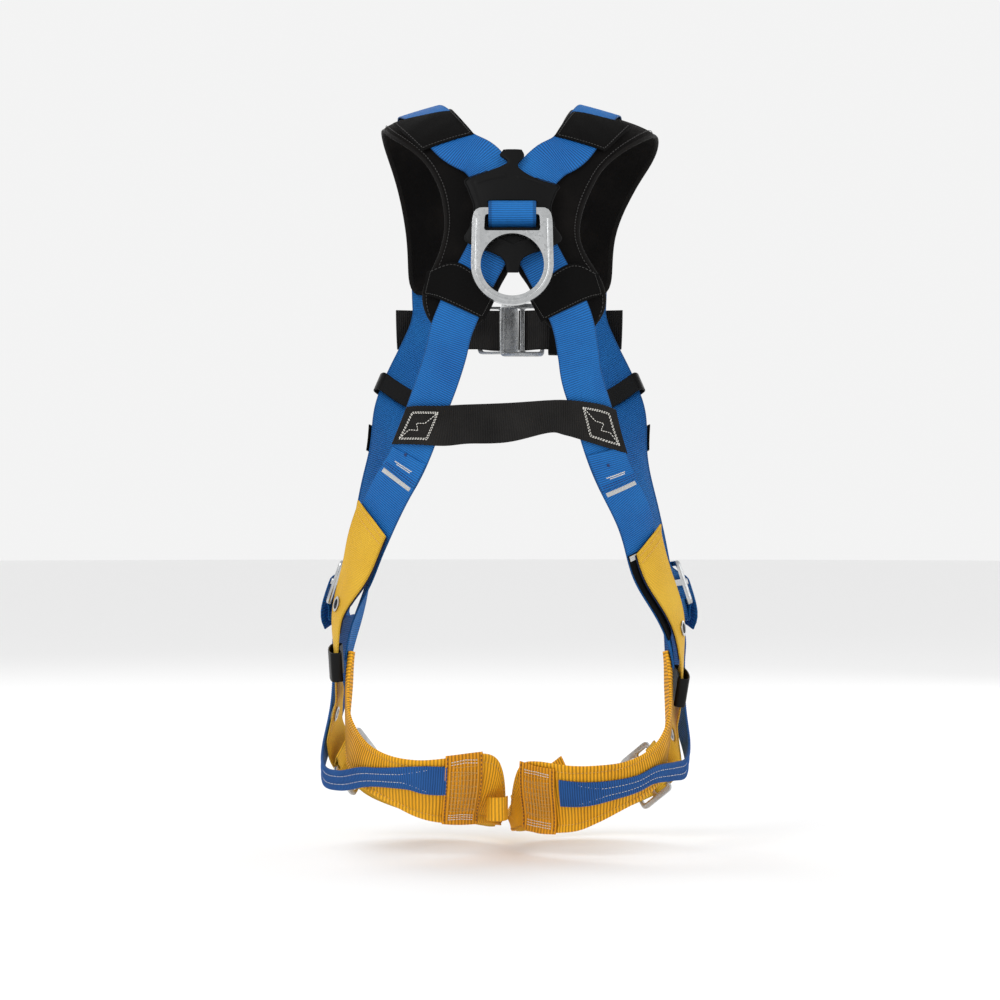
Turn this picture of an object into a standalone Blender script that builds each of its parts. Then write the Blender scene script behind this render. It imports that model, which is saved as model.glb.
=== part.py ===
"""Full body fall-arrest harness with a dorsal D-ring, as separate webbing, pad and metal pieces.

World frame in metres: +X to the wearer's right, the back of the harness faces -Y, +Z is up and the
top of the shoulders is at Z = 0.  Every strap is laid on level surfaces around a smooth wearer form,
so each layer has its own height above the body and stacked webbing never touches.
"""
import math

import bmesh
import bpy
import numpy as np
from mathutils import Matrix, Vector

MM = 0.001
WEB = 44.5 * MM            # width of the main webbing
WEB_T = 1.8 * MM           # thickness of the main webbing
SEG = 15.0 * MM            # length of one strap segment

# wearer form: (centre, radii) of the ellipsoids that are blended together
CHEST = ((0.0, -0.005, -0.21), (0.188, 0.120, 0.21))
SHOULDERS = ((0.003, -0.012, -0.10), (0.225, 0.078, 0.092))
WAIST = ((0.0, 0.0, -0.42), (0.146, 0.098, 0.22))
HIPS = ((0.0, -0.005, -0.60), (0.170, 0.108, 0.15))
SEAT_L = ((-0.080, -0.048, -0.655), (0.085, 0.078, 0.10))
SEAT_R = ((0.080, -0.048, -0.655), (0.085, 0.078, 0.10))
THIGH_L = ((-0.097, 0.0, -0.80), (0.082, 0.085, 0.26))
THIGH_R = ((0.088, 0.0, -0.80), (0.082, 0.085, 0.26))
TORSO = (CHEST, SHOULDERS, WAIST, HIPS)
BODY = TORSO + (SEAT_L, SEAT_R, THIGH_L, THIGH_R)
LEG = {-1: TORSO + (SEAT_L, THIGH_L), 1: TORSO + (SEAT_R, THIGH_R)}
BLEND = 0.012

COLOURS = {
    "blue_webbing": ((0.012, 0.115, 0.46), 0.0, 0.75),
    "yellow_webbing": ((0.86, 0.43, 0.03), 0.0, 0.75),
    "orange_patch": ((0.62, 0.24, 0.02), 0.0, 0.8),
    "black_webbing": ((0.012, 0.012, 0.014), 0.0, 0.8),
    "pad_fabric": ((0.008, 0.008, 0.009), 0.0, 0.9),
    "black_plastic": ((0.015, 0.015, 0.017), 0.0, 0.45),
    "galvanised_steel": ((0.62, 0.63, 0.64), 1.0, 0.38),
    "grommet_steel": ((0.50, 0.51, 0.52), 1.0, 0.35),
}


# ---------------------------------------------------------------- wearer form
def form(p, body):
    """Signed distance to the blended wearer form."""
    total = 0.0
    for centre, radii in body:
        q = (p - np.array(centre)) / np.array(radii)
        k0 = np.linalg.norm(q, axis=-1)
        k1 = np.linalg.norm(q / np.array(radii), axis=-1)
        d = k0 * (k0 - 1.0) / np.maximum(k1, 1e-9)
        total = total + np.exp(-np.clip(d, -0.2, 1.0) / BLEND)
    return -BLEND * np.log(total)


def slope(p, body, e=5e-4):
    """Gradient of the form distance."""
    g = np.zeros_like(p)
    for k in range(3):
        step = np.zeros(3)
        step[k] = e
        g[..., k] = (form(p + step, body) - form(p - step, body)) / (2 * e)
    return g


def settle(p, height, body):
    """Moves points along the form's gradient until they lie at the given height above it."""
    p = np.array(p, float)
    for _ in range(8):
        g = slope(p, body)
        p -= g * ((form(p, body) - height) / (g * g).sum(-1))[..., None]
    return p


def smooth(points, per=12):
    """Catmull-Rom curve through the rows of points."""
    p = np.array(points, float)
    p = np.vstack([2 * p[0] - p[1], p, 2 * p[-1] - p[-2]])
    rows = []
    for i in range(1, len(p) - 2):
        t = np.linspace(0, 1, per, endpoint=False)[:, None]
        a, b, c, d = p[i - 1], p[i], p[i + 1], p[i + 2]
        rows.append(0.5 * (2 * b + (c - a) * t + (2 * a - 5 * b + 4 * c - d) * t**2
                           + (3 * b - a - 3 * c + d) * t**3))
    rows.append(p[-2][None])
    return np.vstack(rows)


def unit(a):
    return a / np.linalg.norm(a, axis=-1, keepdims=True)


class Path:
    """A line laid on the form: rows of (x, y, z, height, tilt, width) in millimetres.

    The tilt raises one edge of the webbing and lowers the other.  A lift is a distance and the
    extra heights around it, where the webbing climbs over a buckle bar.
    """

    def __init__(self, rows, body=BODY, lifts=()):
        rows = [tuple(r) + (0.0, WEB / MM)[len(r) - 4:] for r in rows]
        line = smooth(np.array(rows) * MM)
        self.body = body
        self.points = settle(line[:, :3], line[:, 3], body)
        self.heights, self.tilts, self.widths = line[:, 3], line[:, 4], line[:, 5]
        gaps = np.linalg.norm(np.diff(self.points, axis=0), axis=1)
        self.arc = np.concatenate([[0], np.cumsum(gaps)])
        self.length = self.arc[-1]
        self.lifts = lifts

    def stations(self, seg=SEG):
        n = max(3, int(round(self.length / seg)))
        marks = set(np.round(np.linspace(0, self.length, n + 1), 5))
        for at, profile in self.lifts:
            fine = [at + x * MM for x in (-26, -21, -16, -11, -7, -3, 0, 3, 7, 11, 15, 20, 25)]
            marks = {m for m in marks if m < fine[0] - 0.004 or m > fine[-1] + 0.004}
            marks |= set(np.round(fine, 5))
        return np.array(sorted(m for m in marks if -1e-6 <= m <= self.length + 1e-6))

    def at(self, d):
        """Centre point, tangent, height, tilt and width at distances d along the line."""
        d = np.asarray(d, float)
        inside = np.clip(d, 0, self.length)

        def pick(values):
            return np.interp(inside, self.arc, values)
        c = np.stack([pick(self.points[:, k]) for k in range(3)], -1)
        step = 0.004
        lo, hi = np.clip(inside - step, 0, self.length), np.clip(inside + step, 0, self.length)
        ahead = np.stack([np.interp(hi, self.arc, self.points[:, k]) for k in range(3)], -1)
        behind = np.stack([np.interp(lo, self.arc, self.points[:, k]) for k in range(3)], -1)
        tangent = unit(ahead - behind)
        c = c + tangent * (d - inside)[..., None]
        return c, tangent, pick(self.heights), pick(self.tilts), pick(self.widths)

    def lift(self, d):
        """Extra height where the strap climbs over a bar."""
        d = np.asarray(d, float)
        rise = np.zeros_like(d)
        for at, profile in self.lifts:
            offsets, values = np.array(profile).T * MM
            rise = rise + np.interp(d - at, offsets, values)
        return rise

    def place(self, d, v, w, thickness, skew=(0, 0)):
        """World points for distance d, side v (-1..1) and layer w (0 under, 1 over)."""
        t = d / self.length
        d = d + v * (skew[0] * np.clip(1 - 3 * t, 0, 1) + skew[1] * np.clip(3 * t - 2, 0, 1))
        c, tangent, height, tilt, width = self.at(d)
        out = unit(slope(c, self.body))
        across = unit(np.cross(tangent, out))
        p = c + across * (v * width / 2)[..., None]
        return settle(p, height + tilt * v + self.lift(d) + w * thickness, self.body)

    def nearest(self, point):
        """Distance along the line of the point closest to a point in millimetres."""
        return float(self.arc[np.linalg.norm(self.points - np.array(point) * MM, axis=1).argmin()])

    def frame(self, d, reach=0.008, climbs=True):
        """Matrix in the middle of the webbing at distance d: X along it, Y across, Z outward."""
        lifts, self.lifts = self.lifts, self.lifts if climbs else ()
        half = np.full(2, 0.5)
        ends = self.place(np.array([d - reach, d + reach]), np.zeros(2), half, WEB_T)
        sides = self.place(np.array([d, d]), np.array([0.3, -0.3]), half, WEB_T)
        middle = self.place(np.array([d, d]), np.zeros(2), half, WEB_T)[0]
        self.lifts = lifts
        along, across = unit(ends[1] - ends[0]), unit(sides[1] - sides[0])
        out = unit(np.cross(along, across))
        m = Matrix.Identity(4)
        for k, axis in enumerate((along, np.cross(out, along), out, middle)):
            for r in range(3):
                m[r][k] = axis[r]
        return m


# ---------------------------------------------------------------- object helpers
def start():
    for ob in list(bpy.data.objects):
        bpy.data.objects.remove(ob, do_unlink=True)
    groups = {}
    for name in ("safety_harness", "construction"):
        groups[name] = bpy.data.collections.new(name)
        bpy.context.scene.collection.children.link(groups[name])
    return groups


GROUPS = start()


def paint(name):
    colour, metal, rough = COLOURS[name]
    mat = bpy.data.materials.get(name)
    if mat is None:
        mat = bpy.data.materials.new(name)
        mat.use_nodes = True
        shader = mat.node_tree.nodes["Principled BSDF"]
        shader.inputs["Base Color"].default_value = (*colour, 1)
        shader.inputs["Metallic"].default_value = metal
        shader.inputs["Roughness"].default_value = rough
        mat.diffuse_color = (*colour, 1)
    return mat


def put(name, bm, material, pivot=None):
    """Turns a bmesh in world space into a named object whose origin is the pivot."""
    bmesh.ops.remove_doubles(bm, verts=bm.verts, dist=2e-6)
    bmesh.ops.recalc_face_normals(bm, faces=bm.faces)
    if pivot is not None:
        bmesh.ops.translate(bm, verts=bm.verts, vec=-Vector(pivot))
    mesh = bpy.data.meshes.new(name)
    bm.to_mesh(mesh)
    bm.free()
    ob = bpy.data.objects.new(name, mesh)
    if pivot is not None:
        ob.location = pivot
    mesh.materials.append(paint(material))
    GROUPS["safety_harness"].objects.link(ob)
    return ob


def slab(rows, columns, closed=False):
    """A flat two-layer grid; x is the station (0..1), y the side (-1..1), z the layer (0 or 1)."""
    bm = bmesh.new()
    bmesh.ops.create_grid(bm, x_segments=rows, y_segments=columns, size=1)
    for vert in bm.verts:
        vert.co.x = (vert.co.x + 1) / 2
    done = bmesh.ops.extrude_face_region(bm, geom=bm.faces[:])
    for item in done["geom"]:
        if isinstance(item, bmesh.types.BMVert):
            item.co.z = 1
    if closed:
        ends = [f for f in bm.faces if all(v.co.x < 1e-6 for v in f.verts)
                or all(v.co.x > 1 - 1e-6 for v in f.verts)]
        bmesh.ops.delete(bm, geom=ends, context="FACES_ONLY")
    return bm


def shape(bm, rule):
    """Moves every vertex of a slab to rule(s, v, w)."""
    co = np.array([v.co[:] for v in bm.verts])
    for vert, p in zip(bm.verts, rule(co[:, 0], co[:, 1], co[:, 2])):
        vert.co = p
    return bm


def strap(name, path, material, thickness=WEB_T, columns=4, skew=(0, 0), seg=SEG, span=None, over=0.0,
          wide=1.0):
    """Webbing that follows a path, or a span of it, raised by over."""
    marks = path.stations(seg)
    if span is not None:
        marks = np.linspace(*span, 1 + max(3, round((span[1] - span[0]) / seg)))
    index = np.linspace(0, 1, len(marks))
    bm = shape(slab(len(marks) - 1, columns),
               lambda s, v, w: path.place(np.interp(s, index, marks), v * wide, w + over / thickness,
                                          thickness, skew))
    return put(name, bm, material)


def sheet(name, edge_a, edge_b, heights, thickness, material, body=BODY, rows=16, columns=6,
          edge_thickness=None):
    """A cut sheet on the form between two edge lines; optional thinner edges."""
    a, b = smooth(np.array(edge_a) * MM), smooth(np.array(edge_b) * MM)
    h = np.interp(np.linspace(0, 1, len(a)), np.linspace(0, 1, len(heights)), np.array(heights) * MM)
    t = np.linspace(0, 1, len(a))

    def rule(s, v, w):
        pa = np.stack([np.interp(s, t, a[:, k]) for k in range(3)], -1)
        pb = np.stack([np.interp(s, t, b[:, k]) for k in range(3)], -1)
        mix = ((v + 1) / 2)[:, None]
        base = np.interp(s, t, h)
        full = np.full_like(v, thickness)
        if edge_thickness is not None:
            full = edge_thickness + (thickness - edge_thickness) * (1 - np.abs(v)**4)
        return settle(pa * (1 - mix) + pb * mix, base + w * full, body)
    return put(name, shape(slab(rows, columns), rule), material)


def bend(name, matrix, profile, width, thickness, material, closed=False, pivot=None, columns=1):
    """A strip bent to a profile of (along, out) points in a local frame, with its width across."""
    pts = np.array(profile, float) * MM
    if closed:
        pts = np.vstack([pts, pts[:1]])
    step = np.gradient(pts, axis=0)
    if closed:
        step[0] = step[-1] = pts[1] - pts[-2]
    step = unit(step)
    side = np.stack([-step[:, 1], step[:, 0]], -1)
    index = np.linspace(0, 1, len(pts))

    def rule(s, v, w):
        c = np.stack([np.interp(s, index, pts[:, k]) for k in range(2)], -1)
        n = np.stack([np.interp(s, index, side[:, k]) for k in range(2)], -1)
        c = c + n * ((w - 0.5) * thickness)[:, None]
        local = np.stack([c[:, 0], v * width / 2, c[:, 1]], -1)
        return [matrix @ Vector(p) for p in local]
    return put(name, shape(slab(len(pts) - 1, columns, closed), rule), material, pivot)


def outline(points, radius=0.0, per=4):
    """Closed polyline in mm with rounded corners."""
    out = []
    n = len(points)
    for i in range(n):
        p, a, b = (Vector(points[j]) for j in (i, i - 1, (i + 1) % n))
        if radius <= 0:
            out.append(p)
            continue
        r = min(radius, (a - p).length / 2.01, (b - p).length / 2.01)
        s, e = p + (a - p).normalized() * r, p + (b - p).normalized() * r
        for k in range(per + 1):
            t = k / per
            out.append(s * (1 - t)**2 + p * 2 * t * (1 - t) + e * t * t)
    return [(p.x, p.y) for p in out]


def box_outline(length, width, radius, shift=0.0):
    a, b = length / 2, width / 2
    return outline([(shift - a, -b), (shift + a, -b), (shift + a, b), (shift - a, b)], radius)


def flat(name, loops, thickness, matrix, material, pivot=None, round_edge=0.6):
    """A flat plate: 2D loops in mm (the first is the outside), filled and extruded."""
    data = bpy.data.curves.new(name + "_cut", "CURVE")
    data.dimensions = "2D"
    data.fill_mode = "BOTH"
    data.extrude = thickness / 2 * MM
    for loop in loops:
        spline = data.splines.new("POLY")
        spline.points.add(len(loop) - 1)
        for point, (x, y) in zip(spline.points, loop):
            point.co = (x * MM, y * MM, 0, 1)
        spline.use_cyclic_u = True
    guide = bpy.data.objects.new(name + "_cut", data)
    GROUPS["construction"].objects.link(guide)
    bpy.context.view_layer.update()
    mesh = bpy.data.meshes.new_from_object(guide.evaluated_get(bpy.context.evaluated_depsgraph_get()))
    bpy.data.objects.remove(guide, do_unlink=True)
    bm = bmesh.new()
    bm.from_mesh(mesh)
    bpy.data.meshes.remove(mesh)
    bmesh.ops.remove_doubles(bm, verts=bm.verts, dist=2e-6)
    if round_edge:
        rim = [e for e in bm.edges if len(e.link_faces) == 2 and e.calc_face_angle(0) > 1.2]
        bmesh.ops.bevel(bm, geom=rim, offset=round_edge * MM, segments=1, affect="EDGES",
                        clamp_overlap=True)
    bmesh.ops.transform(bm, matrix=matrix, verts=bm.verts)
    return put(name, bm, material, pivot)


def cut(ob, shapes):
    """Subtracts cylinders and boxes (matrix, size in mm) from an object."""
    for kind, matrix, size in shapes:
        bm = bmesh.new()
        if kind == "hole":
            bmesh.ops.create_cone(bm, cap_ends=True, segments=16, radius1=size[0] * MM,
                                  radius2=size[0] * MM, depth=size[1] * MM)
        else:
            bmesh.ops.create_cube(bm, size=1)
            bmesh.ops.scale(bm, vec=Vector(size) * MM, verts=bm.verts)
        bmesh.ops.transform(bm, matrix=matrix, verts=bm.verts)
        mesh = bpy.data.meshes.new("cutter")
        bm.to_mesh(mesh)
        bm.free()
        tool = bpy.data.objects.new("cutter", mesh)
        tool.hide_render = True
        tool.display_type = "WIRE"
        GROUPS["construction"].objects.link(tool)
        change = ob.modifiers.new("cut", "BOOLEAN")
        change.operation = "DIFFERENCE"
        change.solver = "EXACT"
        change.object = tool
        bpy.context.view_layer.update()
        done = bpy.data.meshes.new_from_object(ob.evaluated_get(bpy.context.evaluated_depsgraph_get()))
        ob.modifiers.clear()
        old = ob.data
        ob.data = done
        bpy.data.meshes.remove(old)
        bpy.data.objects.remove(tool, do_unlink=True)
        ob.data.name = ob.name
    return ob


def eyelet(name, matrix, bore, reach, half, material="grommet_steel"):
    """Grommet: a turned C-section ring clamped on both faces of the webbing."""
    profile = [(bore, -half - 0.7), (reach, -half - 0.7), (reach, -half - 0.1),
               (bore + 0.9, -half - 0.1), (bore + 0.9, half + 0.1), (reach, half + 0.1),
               (reach, half + 0.7), (bore, half + 0.7)]
    bm = bmesh.new()
    verts = [bm.verts.new((r * MM, 0, z * MM)) for r, z in profile]
    edges = [bm.edges.new((verts[i], verts[(i + 1) % len(verts)])) for i in range(len(verts))]
    bmesh.ops.spin(bm, geom=verts + edges, cent=(0, 0, 0), axis=(0, 0, 1), angle=2 * math.pi,
                   steps=16, use_merge=True)
    bmesh.ops.transform(bm, matrix=matrix, verts=bm.verts)
    return put(name, bm, material)


SIDES = (("left", -1), ("right", 1))


def mirrored(rows, side):
    """Rows written for the left side, flipped for the right when side is +1."""
    return [(-side * r[0], *r[1:]) for r in rows]


# ---------------------------------------------------------------- shoulder pads and keepers
PAD_FRONT_OUT = {
    -1: [(-110, 92, -190), (-116, 86, -125), (-128, 62, -65), (-138, 12, -28)],
    1: [(112, 92, -190), (120, 86, -125), (140, 56, -75), (156, 6, -48)],
}
PAD_FRONT_IN = {
    -1: [(-60, 104, -192), (-62, 100, -125), (-64, 76, -62), (-64, 22, -5)],
    1: [(60, 104, -192), (62, 100, -125), (66, 76, -62), (70, 22, -6)],
}
PAD_OUT = {
    -1: [(-130, -50, -30), (-95, -90, -58), (-76, -106, -90), (-69, -115, -121), (-70, -120, -147),
         (-79, -121, -175), (-91, -118, -197), (-92, -118, -218), (-82, -120, -243)],
    1: [(139, -58, -38), (103, -90, -66), (87, -104, -92), (76, -113, -120), (73, -119, -146),
        (81, -119, -168), (97, -116, -192), (102, -114, -217), (89, -118, -245)],
}
PAD_IN = {
    -1: [(-60, -46, -3), (-38, -86, -34), (-14, -104, -62), (1.4, -120, -95), (1.4, -128, -140),
         (0.6, -131, -177), (-11, -132, -197), (-20, -131, -221), (-35, -129, -243)],
    1: [(64, -48, -3), (48, -88, -34), (18, -104, -62), (4.6, -120, -95), (4.6, -128, -140),
        (5.6, -131, -177), (21, -132, -199), (30, -131, -224), (43, -129, -245)],
}
for label, side in SIDES:
    sheet("shoulder_pad_" + label, PAD_FRONT_OUT[side] + PAD_OUT[side], PAD_FRONT_IN[side] + PAD_IN[side],
          [0.6] * 2, 8.4 * MM, "pad_fabric", rows=34, columns=6, edge_thickness=3.4 * MM)

# keepers: black sleeves sewn across the pads over the blue webbing (edges in the order outer, inner)
sheet("pad_keeper_upper_left", [(-123, -46, -24), (-117, -58, -31), (-92, -93, -54)],
      [(-60, -60, -10), (-53, -72, -18), (-37, -92, -38)], [12.2, 12.2], 1.4 * MM, "black_webbing",
      rows=8, columns=6)
sheet("pad_keeper_upper_right", [(128, -50, -28), (120, -62, -36), (100, -92, -54)],
      [(66, -60, -10), (59, -72, -19), (46, -93, -40)], [12.2, 12.2], 1.4 * MM, "black_webbing",
      rows=8, columns=6)
sheet("pad_keeper_lower_left", [(-84, -118, -184), (-54, -133, -175), (-19, -138, -200), (-12, -138, -205)],
      [(-88, -118, -207), (-72, -130, -213), (-35, -136, -230), (-26, -133, -235)],
      [13.8, 13.8], 1.4 * MM, "black_webbing", rows=12, columns=4)
sheet("pad_keeper_lower_right", [(90, -118, -186), (62, -131, -176), (23, -138, -202), (16, -134, -206)],
      [(96, -116, -207), (78, -128, -214), (43, -135, -231), (32, -133, -237)],
      [12.2, 12.2], 1.4 * MM, "black_webbing", rows=12, columns=4)

# ---------------------------------------------------------------- blue shoulder straps
# from the torso adjuster at the front, over the shoulder, across the back to the opposite hip
ADJUST_AT = 0.046          # distance of the torso adjuster from the lower front end of the strap
ADJUST_LIFT = (ADJUST_AT, ((-46, 13.2), (-32, 15), (-20, 14.6), (4, 14.2), (20, 0)))
FRONT = [(-180, 46, -557, 25, 0), (-184, 42, -535, 31, 0), (-180, 44, -488, 30, 0), (-168, 50, -440, 22, 2),
         (-156, 56, -395, 15, 3), (-142, 64, -345, 9), (-122, 78, -300, 6), (-98, 91, -252, 2.5),
         (-86, 98, -222, 5.5), (-84, 99, -194, 9.8), (-88, 92, -120, 9.8),
         (-97, 62, -58, 9.8), (-100, 20, -12, 9.8), (-95, -30, -5, 9.8)]
BACK_A = [(-60, -95, -44, 9.8), (-31, -109, -64, 9.8), (-14, -118, -88, 9.8), (4, -127, -117, 9.8),
          (22, -131, -152, 9.8), (42, -131, -190, 9.8), (59, -126, -223, 9.8), (65, -120, -243, 10.1),
          (70, -112, -268, 4), (76, -106, -296, 0.6), (91, -90, -338, 0.6), (110, -72, -392, 3.0, -3),
          (131, -49, -440, 6.0, -7), (144, -40, -472, 7.0, -6), (156, -31, -507, 7.0, -4), (168, -19, -550, 5, -1),
          (177, -8, -592, 3.4)]
BACK_B = [(67, -97, -47, 9.8), (42, -110, -66, 10.4), (24, -119, -86, 12.4), (4, -127, -113, 12.4),
          (-14, -132, -145, 12.4), (-25, -133, -168, 12.2), (-41, -133, -198, 10.2),
          (-54, -128, -228, 9.8), (-60, -122, -245, 9.8), (-66, -114, -268, 4), (-76, -106, -296, 0.6),
          (-90, -90, -332, 0.6), (-109, -72, -380, 2.8, 3), (-122, -61, -404, 5.4, 7),
          (-142, -39, -445, 8.4, 9), (-166, -14, -495, 8, 6), (-176, 2, -545, 5, 1),
          (-179, 0, -592, 3.4)]
PATH_A = Path(FRONT + BACK_A, lifts=(ADJUST_LIFT,))
PATH_B = Path(mirrored(FRONT, 1) + BACK_B, lifts=(ADJUST_LIFT,))
strap("shoulder_strap_left", PATH_A, "blue_webbing", skew=(0, 0.004))
strap("shoulder_strap_right", PATH_B, "blue_webbing", skew=(0, -0.004))

# ---------------------------------------------------------------- dorsal plate and D-ring
PLATE_H, PLATE_T = 18.6, 3.4
sheet("dorsal_plate",
      [(-7, -100, -64), (-10, -103, -69), (-3, -107, -76), (-22, -111, -84), (-44, -113, -92), (-42, -118, -102),
       (-36, -124, -121), (-40, -128, -138), (-46, -128, -152), (-36, -131, -160), (-9, -131, -172),
       (-3, -131, -187)],
      [(12, -100, -64), (14, -103, -70), (2, -107, -82), (25, -113, -91), (48, -115, -98), (46, -119, -105),
       (41, -124, -121), (45, -128, -138), (52, -128, -152), (42, -131, -160), (14, -131, -172),
       (8, -131, -187)],
      [PLATE_H, PLATE_H], PLATE_T * MM, "black_plastic", rows=30, columns=6)
BAR_OVER = 28.6            # height of the D-ring bar above the form
RING_LEAN = math.radians(7.5)


def hang(origin, out_y, out_z):
    """Local frame at a point of the back: X down, Y across, Z outward."""
    size = math.hypot(out_y, out_z)
    out_y, out_z = out_y / size, out_z / size
    return Matrix(((0, 1, 0, origin[0]), (-out_z, 0, out_y, origin[1]), (out_y, 0, out_z, origin[2]),
                   (0, 0, 0, 1)))


under_bar = settle(np.array([[2, -118, -129]]) * MM, 0.0, BODY)
bar_out = unit(slope(under_bar, BODY))[0]
RING_PIVOT = Vector(under_bar[0] + bar_out * BAR_OVER * MM)
LOOP_FRAME = hang(RING_PIVOT, bar_out[1], bar_out[2])
LOOP_HALF = 12.6
cut(bpy.data.objects["dorsal_plate"],
    [("box", LOOP_FRAME @ Matrix.Translation(Vector((a, 0, -8)) * MM), (4.6, 52, 24))
     for a in (-LOOP_HALF, LOOP_HALF)])
bend("dorsal_loop", LOOP_FRAME,
     [(-12.6, -12.3), (-12.8, -7), (-11.6, -2), (-8.4, 3.4), (-3.4, 6.0), (3.4, 6.0), (8.4, 3.4),
      (11.6, -2), (12.8, -7), (12.6, -12.3), (7, -12.5), (0, -12.6), (-7, -12.5)],
     49 * MM, 1.4 * MM, "blue_webbing", closed=True)
RING_FRAME = hang(RING_PIVOT, -math.cos(RING_LEAN), math.sin(RING_LEAN))


def arc(cx, r, start_deg, end_deg, n):
    angles = [math.radians(start_deg + (end_deg - start_deg) * k / n) for k in range(n + 1)]
    return [(cx + r * math.cos(a), r * math.sin(a)) for a in angles]


ring_outside = [(-3.6, -30), (2, -39.5), (12, -41.3)] + arc(55.5, 42.3, -90, 90, 16) + [
    (12, 41.3), (2, 39.5), (-3.6, 30)]
ring_window = outline([(3.4, -28), (20.5, -29), (20.5, 29), (3.4, 28)], 3)
ring_eye = arc(56.0, 32.5, 0, 360, 24)[:-1]
flat("dorsal_d_ring", [ring_outside, ring_window, ring_eye], 8.0, RING_FRAME, "galvanised_steel",
     pivot=RING_PIVOT, round_edge=1.6)

# ---------------------------------------------------------------- black back strap and indicators
strap("back_strap", Path([(-114, -75, -341, 6.8, 0, 39), (-95, -88, -341, 6.2, 0, 42),
                          (-69, -98, -342, 5.6, 0, 43), (-45, -104, -341, 2.0, 0, 42),
                          (-5, -109, -340, 0.8, 0, 42), (40, -106, -333, 2.0, 0, 35),
                          (62, -102, -334, 5.0, 0, 38), (88, -91, -339, 5.6, 0, 42),
                          (104, -79, -344, 6.2, 0, 41), (113, -70, -347, 6.2, 0, 39)]),
      "black_webbing", skew=(-0.014, 0.018))
for label, path, ends in (("left", PATH_B, ((-108, -73, -377), (-121, -60, -394))),
                          ("right", PATH_A, ((105, -79, -374), (117, -66, -407)))):
    strap("impact_flap_" + label, path, "blue_webbing", thickness=1.2 * MM, over=2.4 * MM,
          span=[path.nearest(p) for p in ends], seg=8 * MM)

# ---------------------------------------------------------------- seat and leg webbing
BAND_A = [(-166, -36, -582), (-170, -42, -615), (-170, -55, -640), (-160, -80, -661),
          (-146, -98, -676), (-125, -114, -686), (-96, -124, -690), (-68, -125, -688),
          (-34, -115, -683), (-14, -96, -690), (-7, -60, -725), (-9, -20, -747), (-12, 25, -745),
          (-30, 74, -728), (-60, 92, -706)]
BAND_B = [(-172, 22, -585), (-178, 22, -625), (-184, 4, -668), (-178, -24, -700), (-158, -62, -720),
          (-126, -89, -739), (-97, -93, -753), (-72, -88, -759), (-44, -76, -761),
          (-28, -58, -763), (-18, -38, -766), (-14, -10, -770), (-16, 30, -775), (-40, 78, -776),
          (-84, 90, -758)]
RIGHT_SHIFT = {7: (-3, 0, -9), 8: (-8, 0, -11), 9: (-4, 0, -9)}   # the right seat end sits lower


def right_of(rows):
    moved = []
    for k, (x, y, z) in enumerate(rows):
        dx, dy, dz = RIGHT_SHIFT.get(k, (-4, 0, -6 if 2 < k < 12 else 0))
        moved.append((-x + dx, y + dy, z + dz))
    return moved


for label, side in SIDES:
    edges = (BAND_A, BAND_B) if side < 0 else (right_of(BAND_A), right_of(BAND_B))
    sheet("seat_band_" + label, *edges, [0.6, 0.6], 2.0 * MM, "yellow_webbing", body=LEG[side],
          rows=40, columns=4)

LEG_AT = 0.300             # distance of the tongue buckle from the free end of the leg strap
LEG_LIFT = (LEG_AT, ((-92, 0), (-48, 14.0), (-26, 15.4), (-18, 14.4), (3, 10.4), (20, 0)))
KEEPER_AT = 0.172
LEG_ROWS = {
    -1: [(-148, -46, -440, 13.4, 9), (-169, -24, -490, 23, 10), (-181, -5, -540, 26, 8),
         (-181, -2, -592, 15, 3), (-184, 10, -645, 10), (-180, 36, -690, 7), (-158, 70, -722, 6),
         (-112, 92, -744, 4), (-62, 86, -754, 3.4), (-26, 52, -757, 3.4), (-19, 34, -755, 3.4)],
    1: [(149, -38, -462, 13.2, -6), (163, -30, -500, 19, -8), (176, -12, -548, 20, -8),
        (183, -3, -596, 14, -3), (184, 9, -645, 10), (180, 36, -690, 7), (156, 70, -724, 6),
        (108, 92, -747, 4), (56, 86, -759, 3.4), (20, 52, -762, 3.4), (13, 34, -760, 3.4)],
}
GROMMETS = (LEG_AT + 0.0115, 0.108, 0.230)
PRONG = [(0.4, -3.0), (-2.4, -2.8), (-3.9, -1.2), (-3.9, 1.2), (-2.4, 2.9), (1.5, 3.1), (5.0, 1.6),
         (8.4, -1.4), (10.5, -0.8), (13.7, 3.8), (17.0, 5.0), (21.5, 3.6), (25.4, 3.0)]
OVAL = [(-28, -2.8), (-26.4, 2.2), (-20, 4.2), (-10, 5.6), (0, 6.0), (10, 5.6), (20, 4.2),
        (26.4, 2.2), (28, -2.8), (26.4, -7.4), (20, -7.3), (10, -5.8), (0, -5.3), (-10, -5.8),
        (-20, -7.3), (-26.4, -7.4)]
BAR_LOOP = [(-18.0, 0.0), (-18.7, 2.2), (-21, 3.0), (-25.6, 3.0), (-28.6, 0.6), (-33, -3.0),
            (-40, -7.4), (-40.8, -9.4), (-33, -6.6), (-28, -4.2), (-24, -3.1), (-20, -2.7),
            (-18.6, -1.8)]
TURN = Matrix.Rotation(math.pi / 2, 4, "Z")


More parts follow.
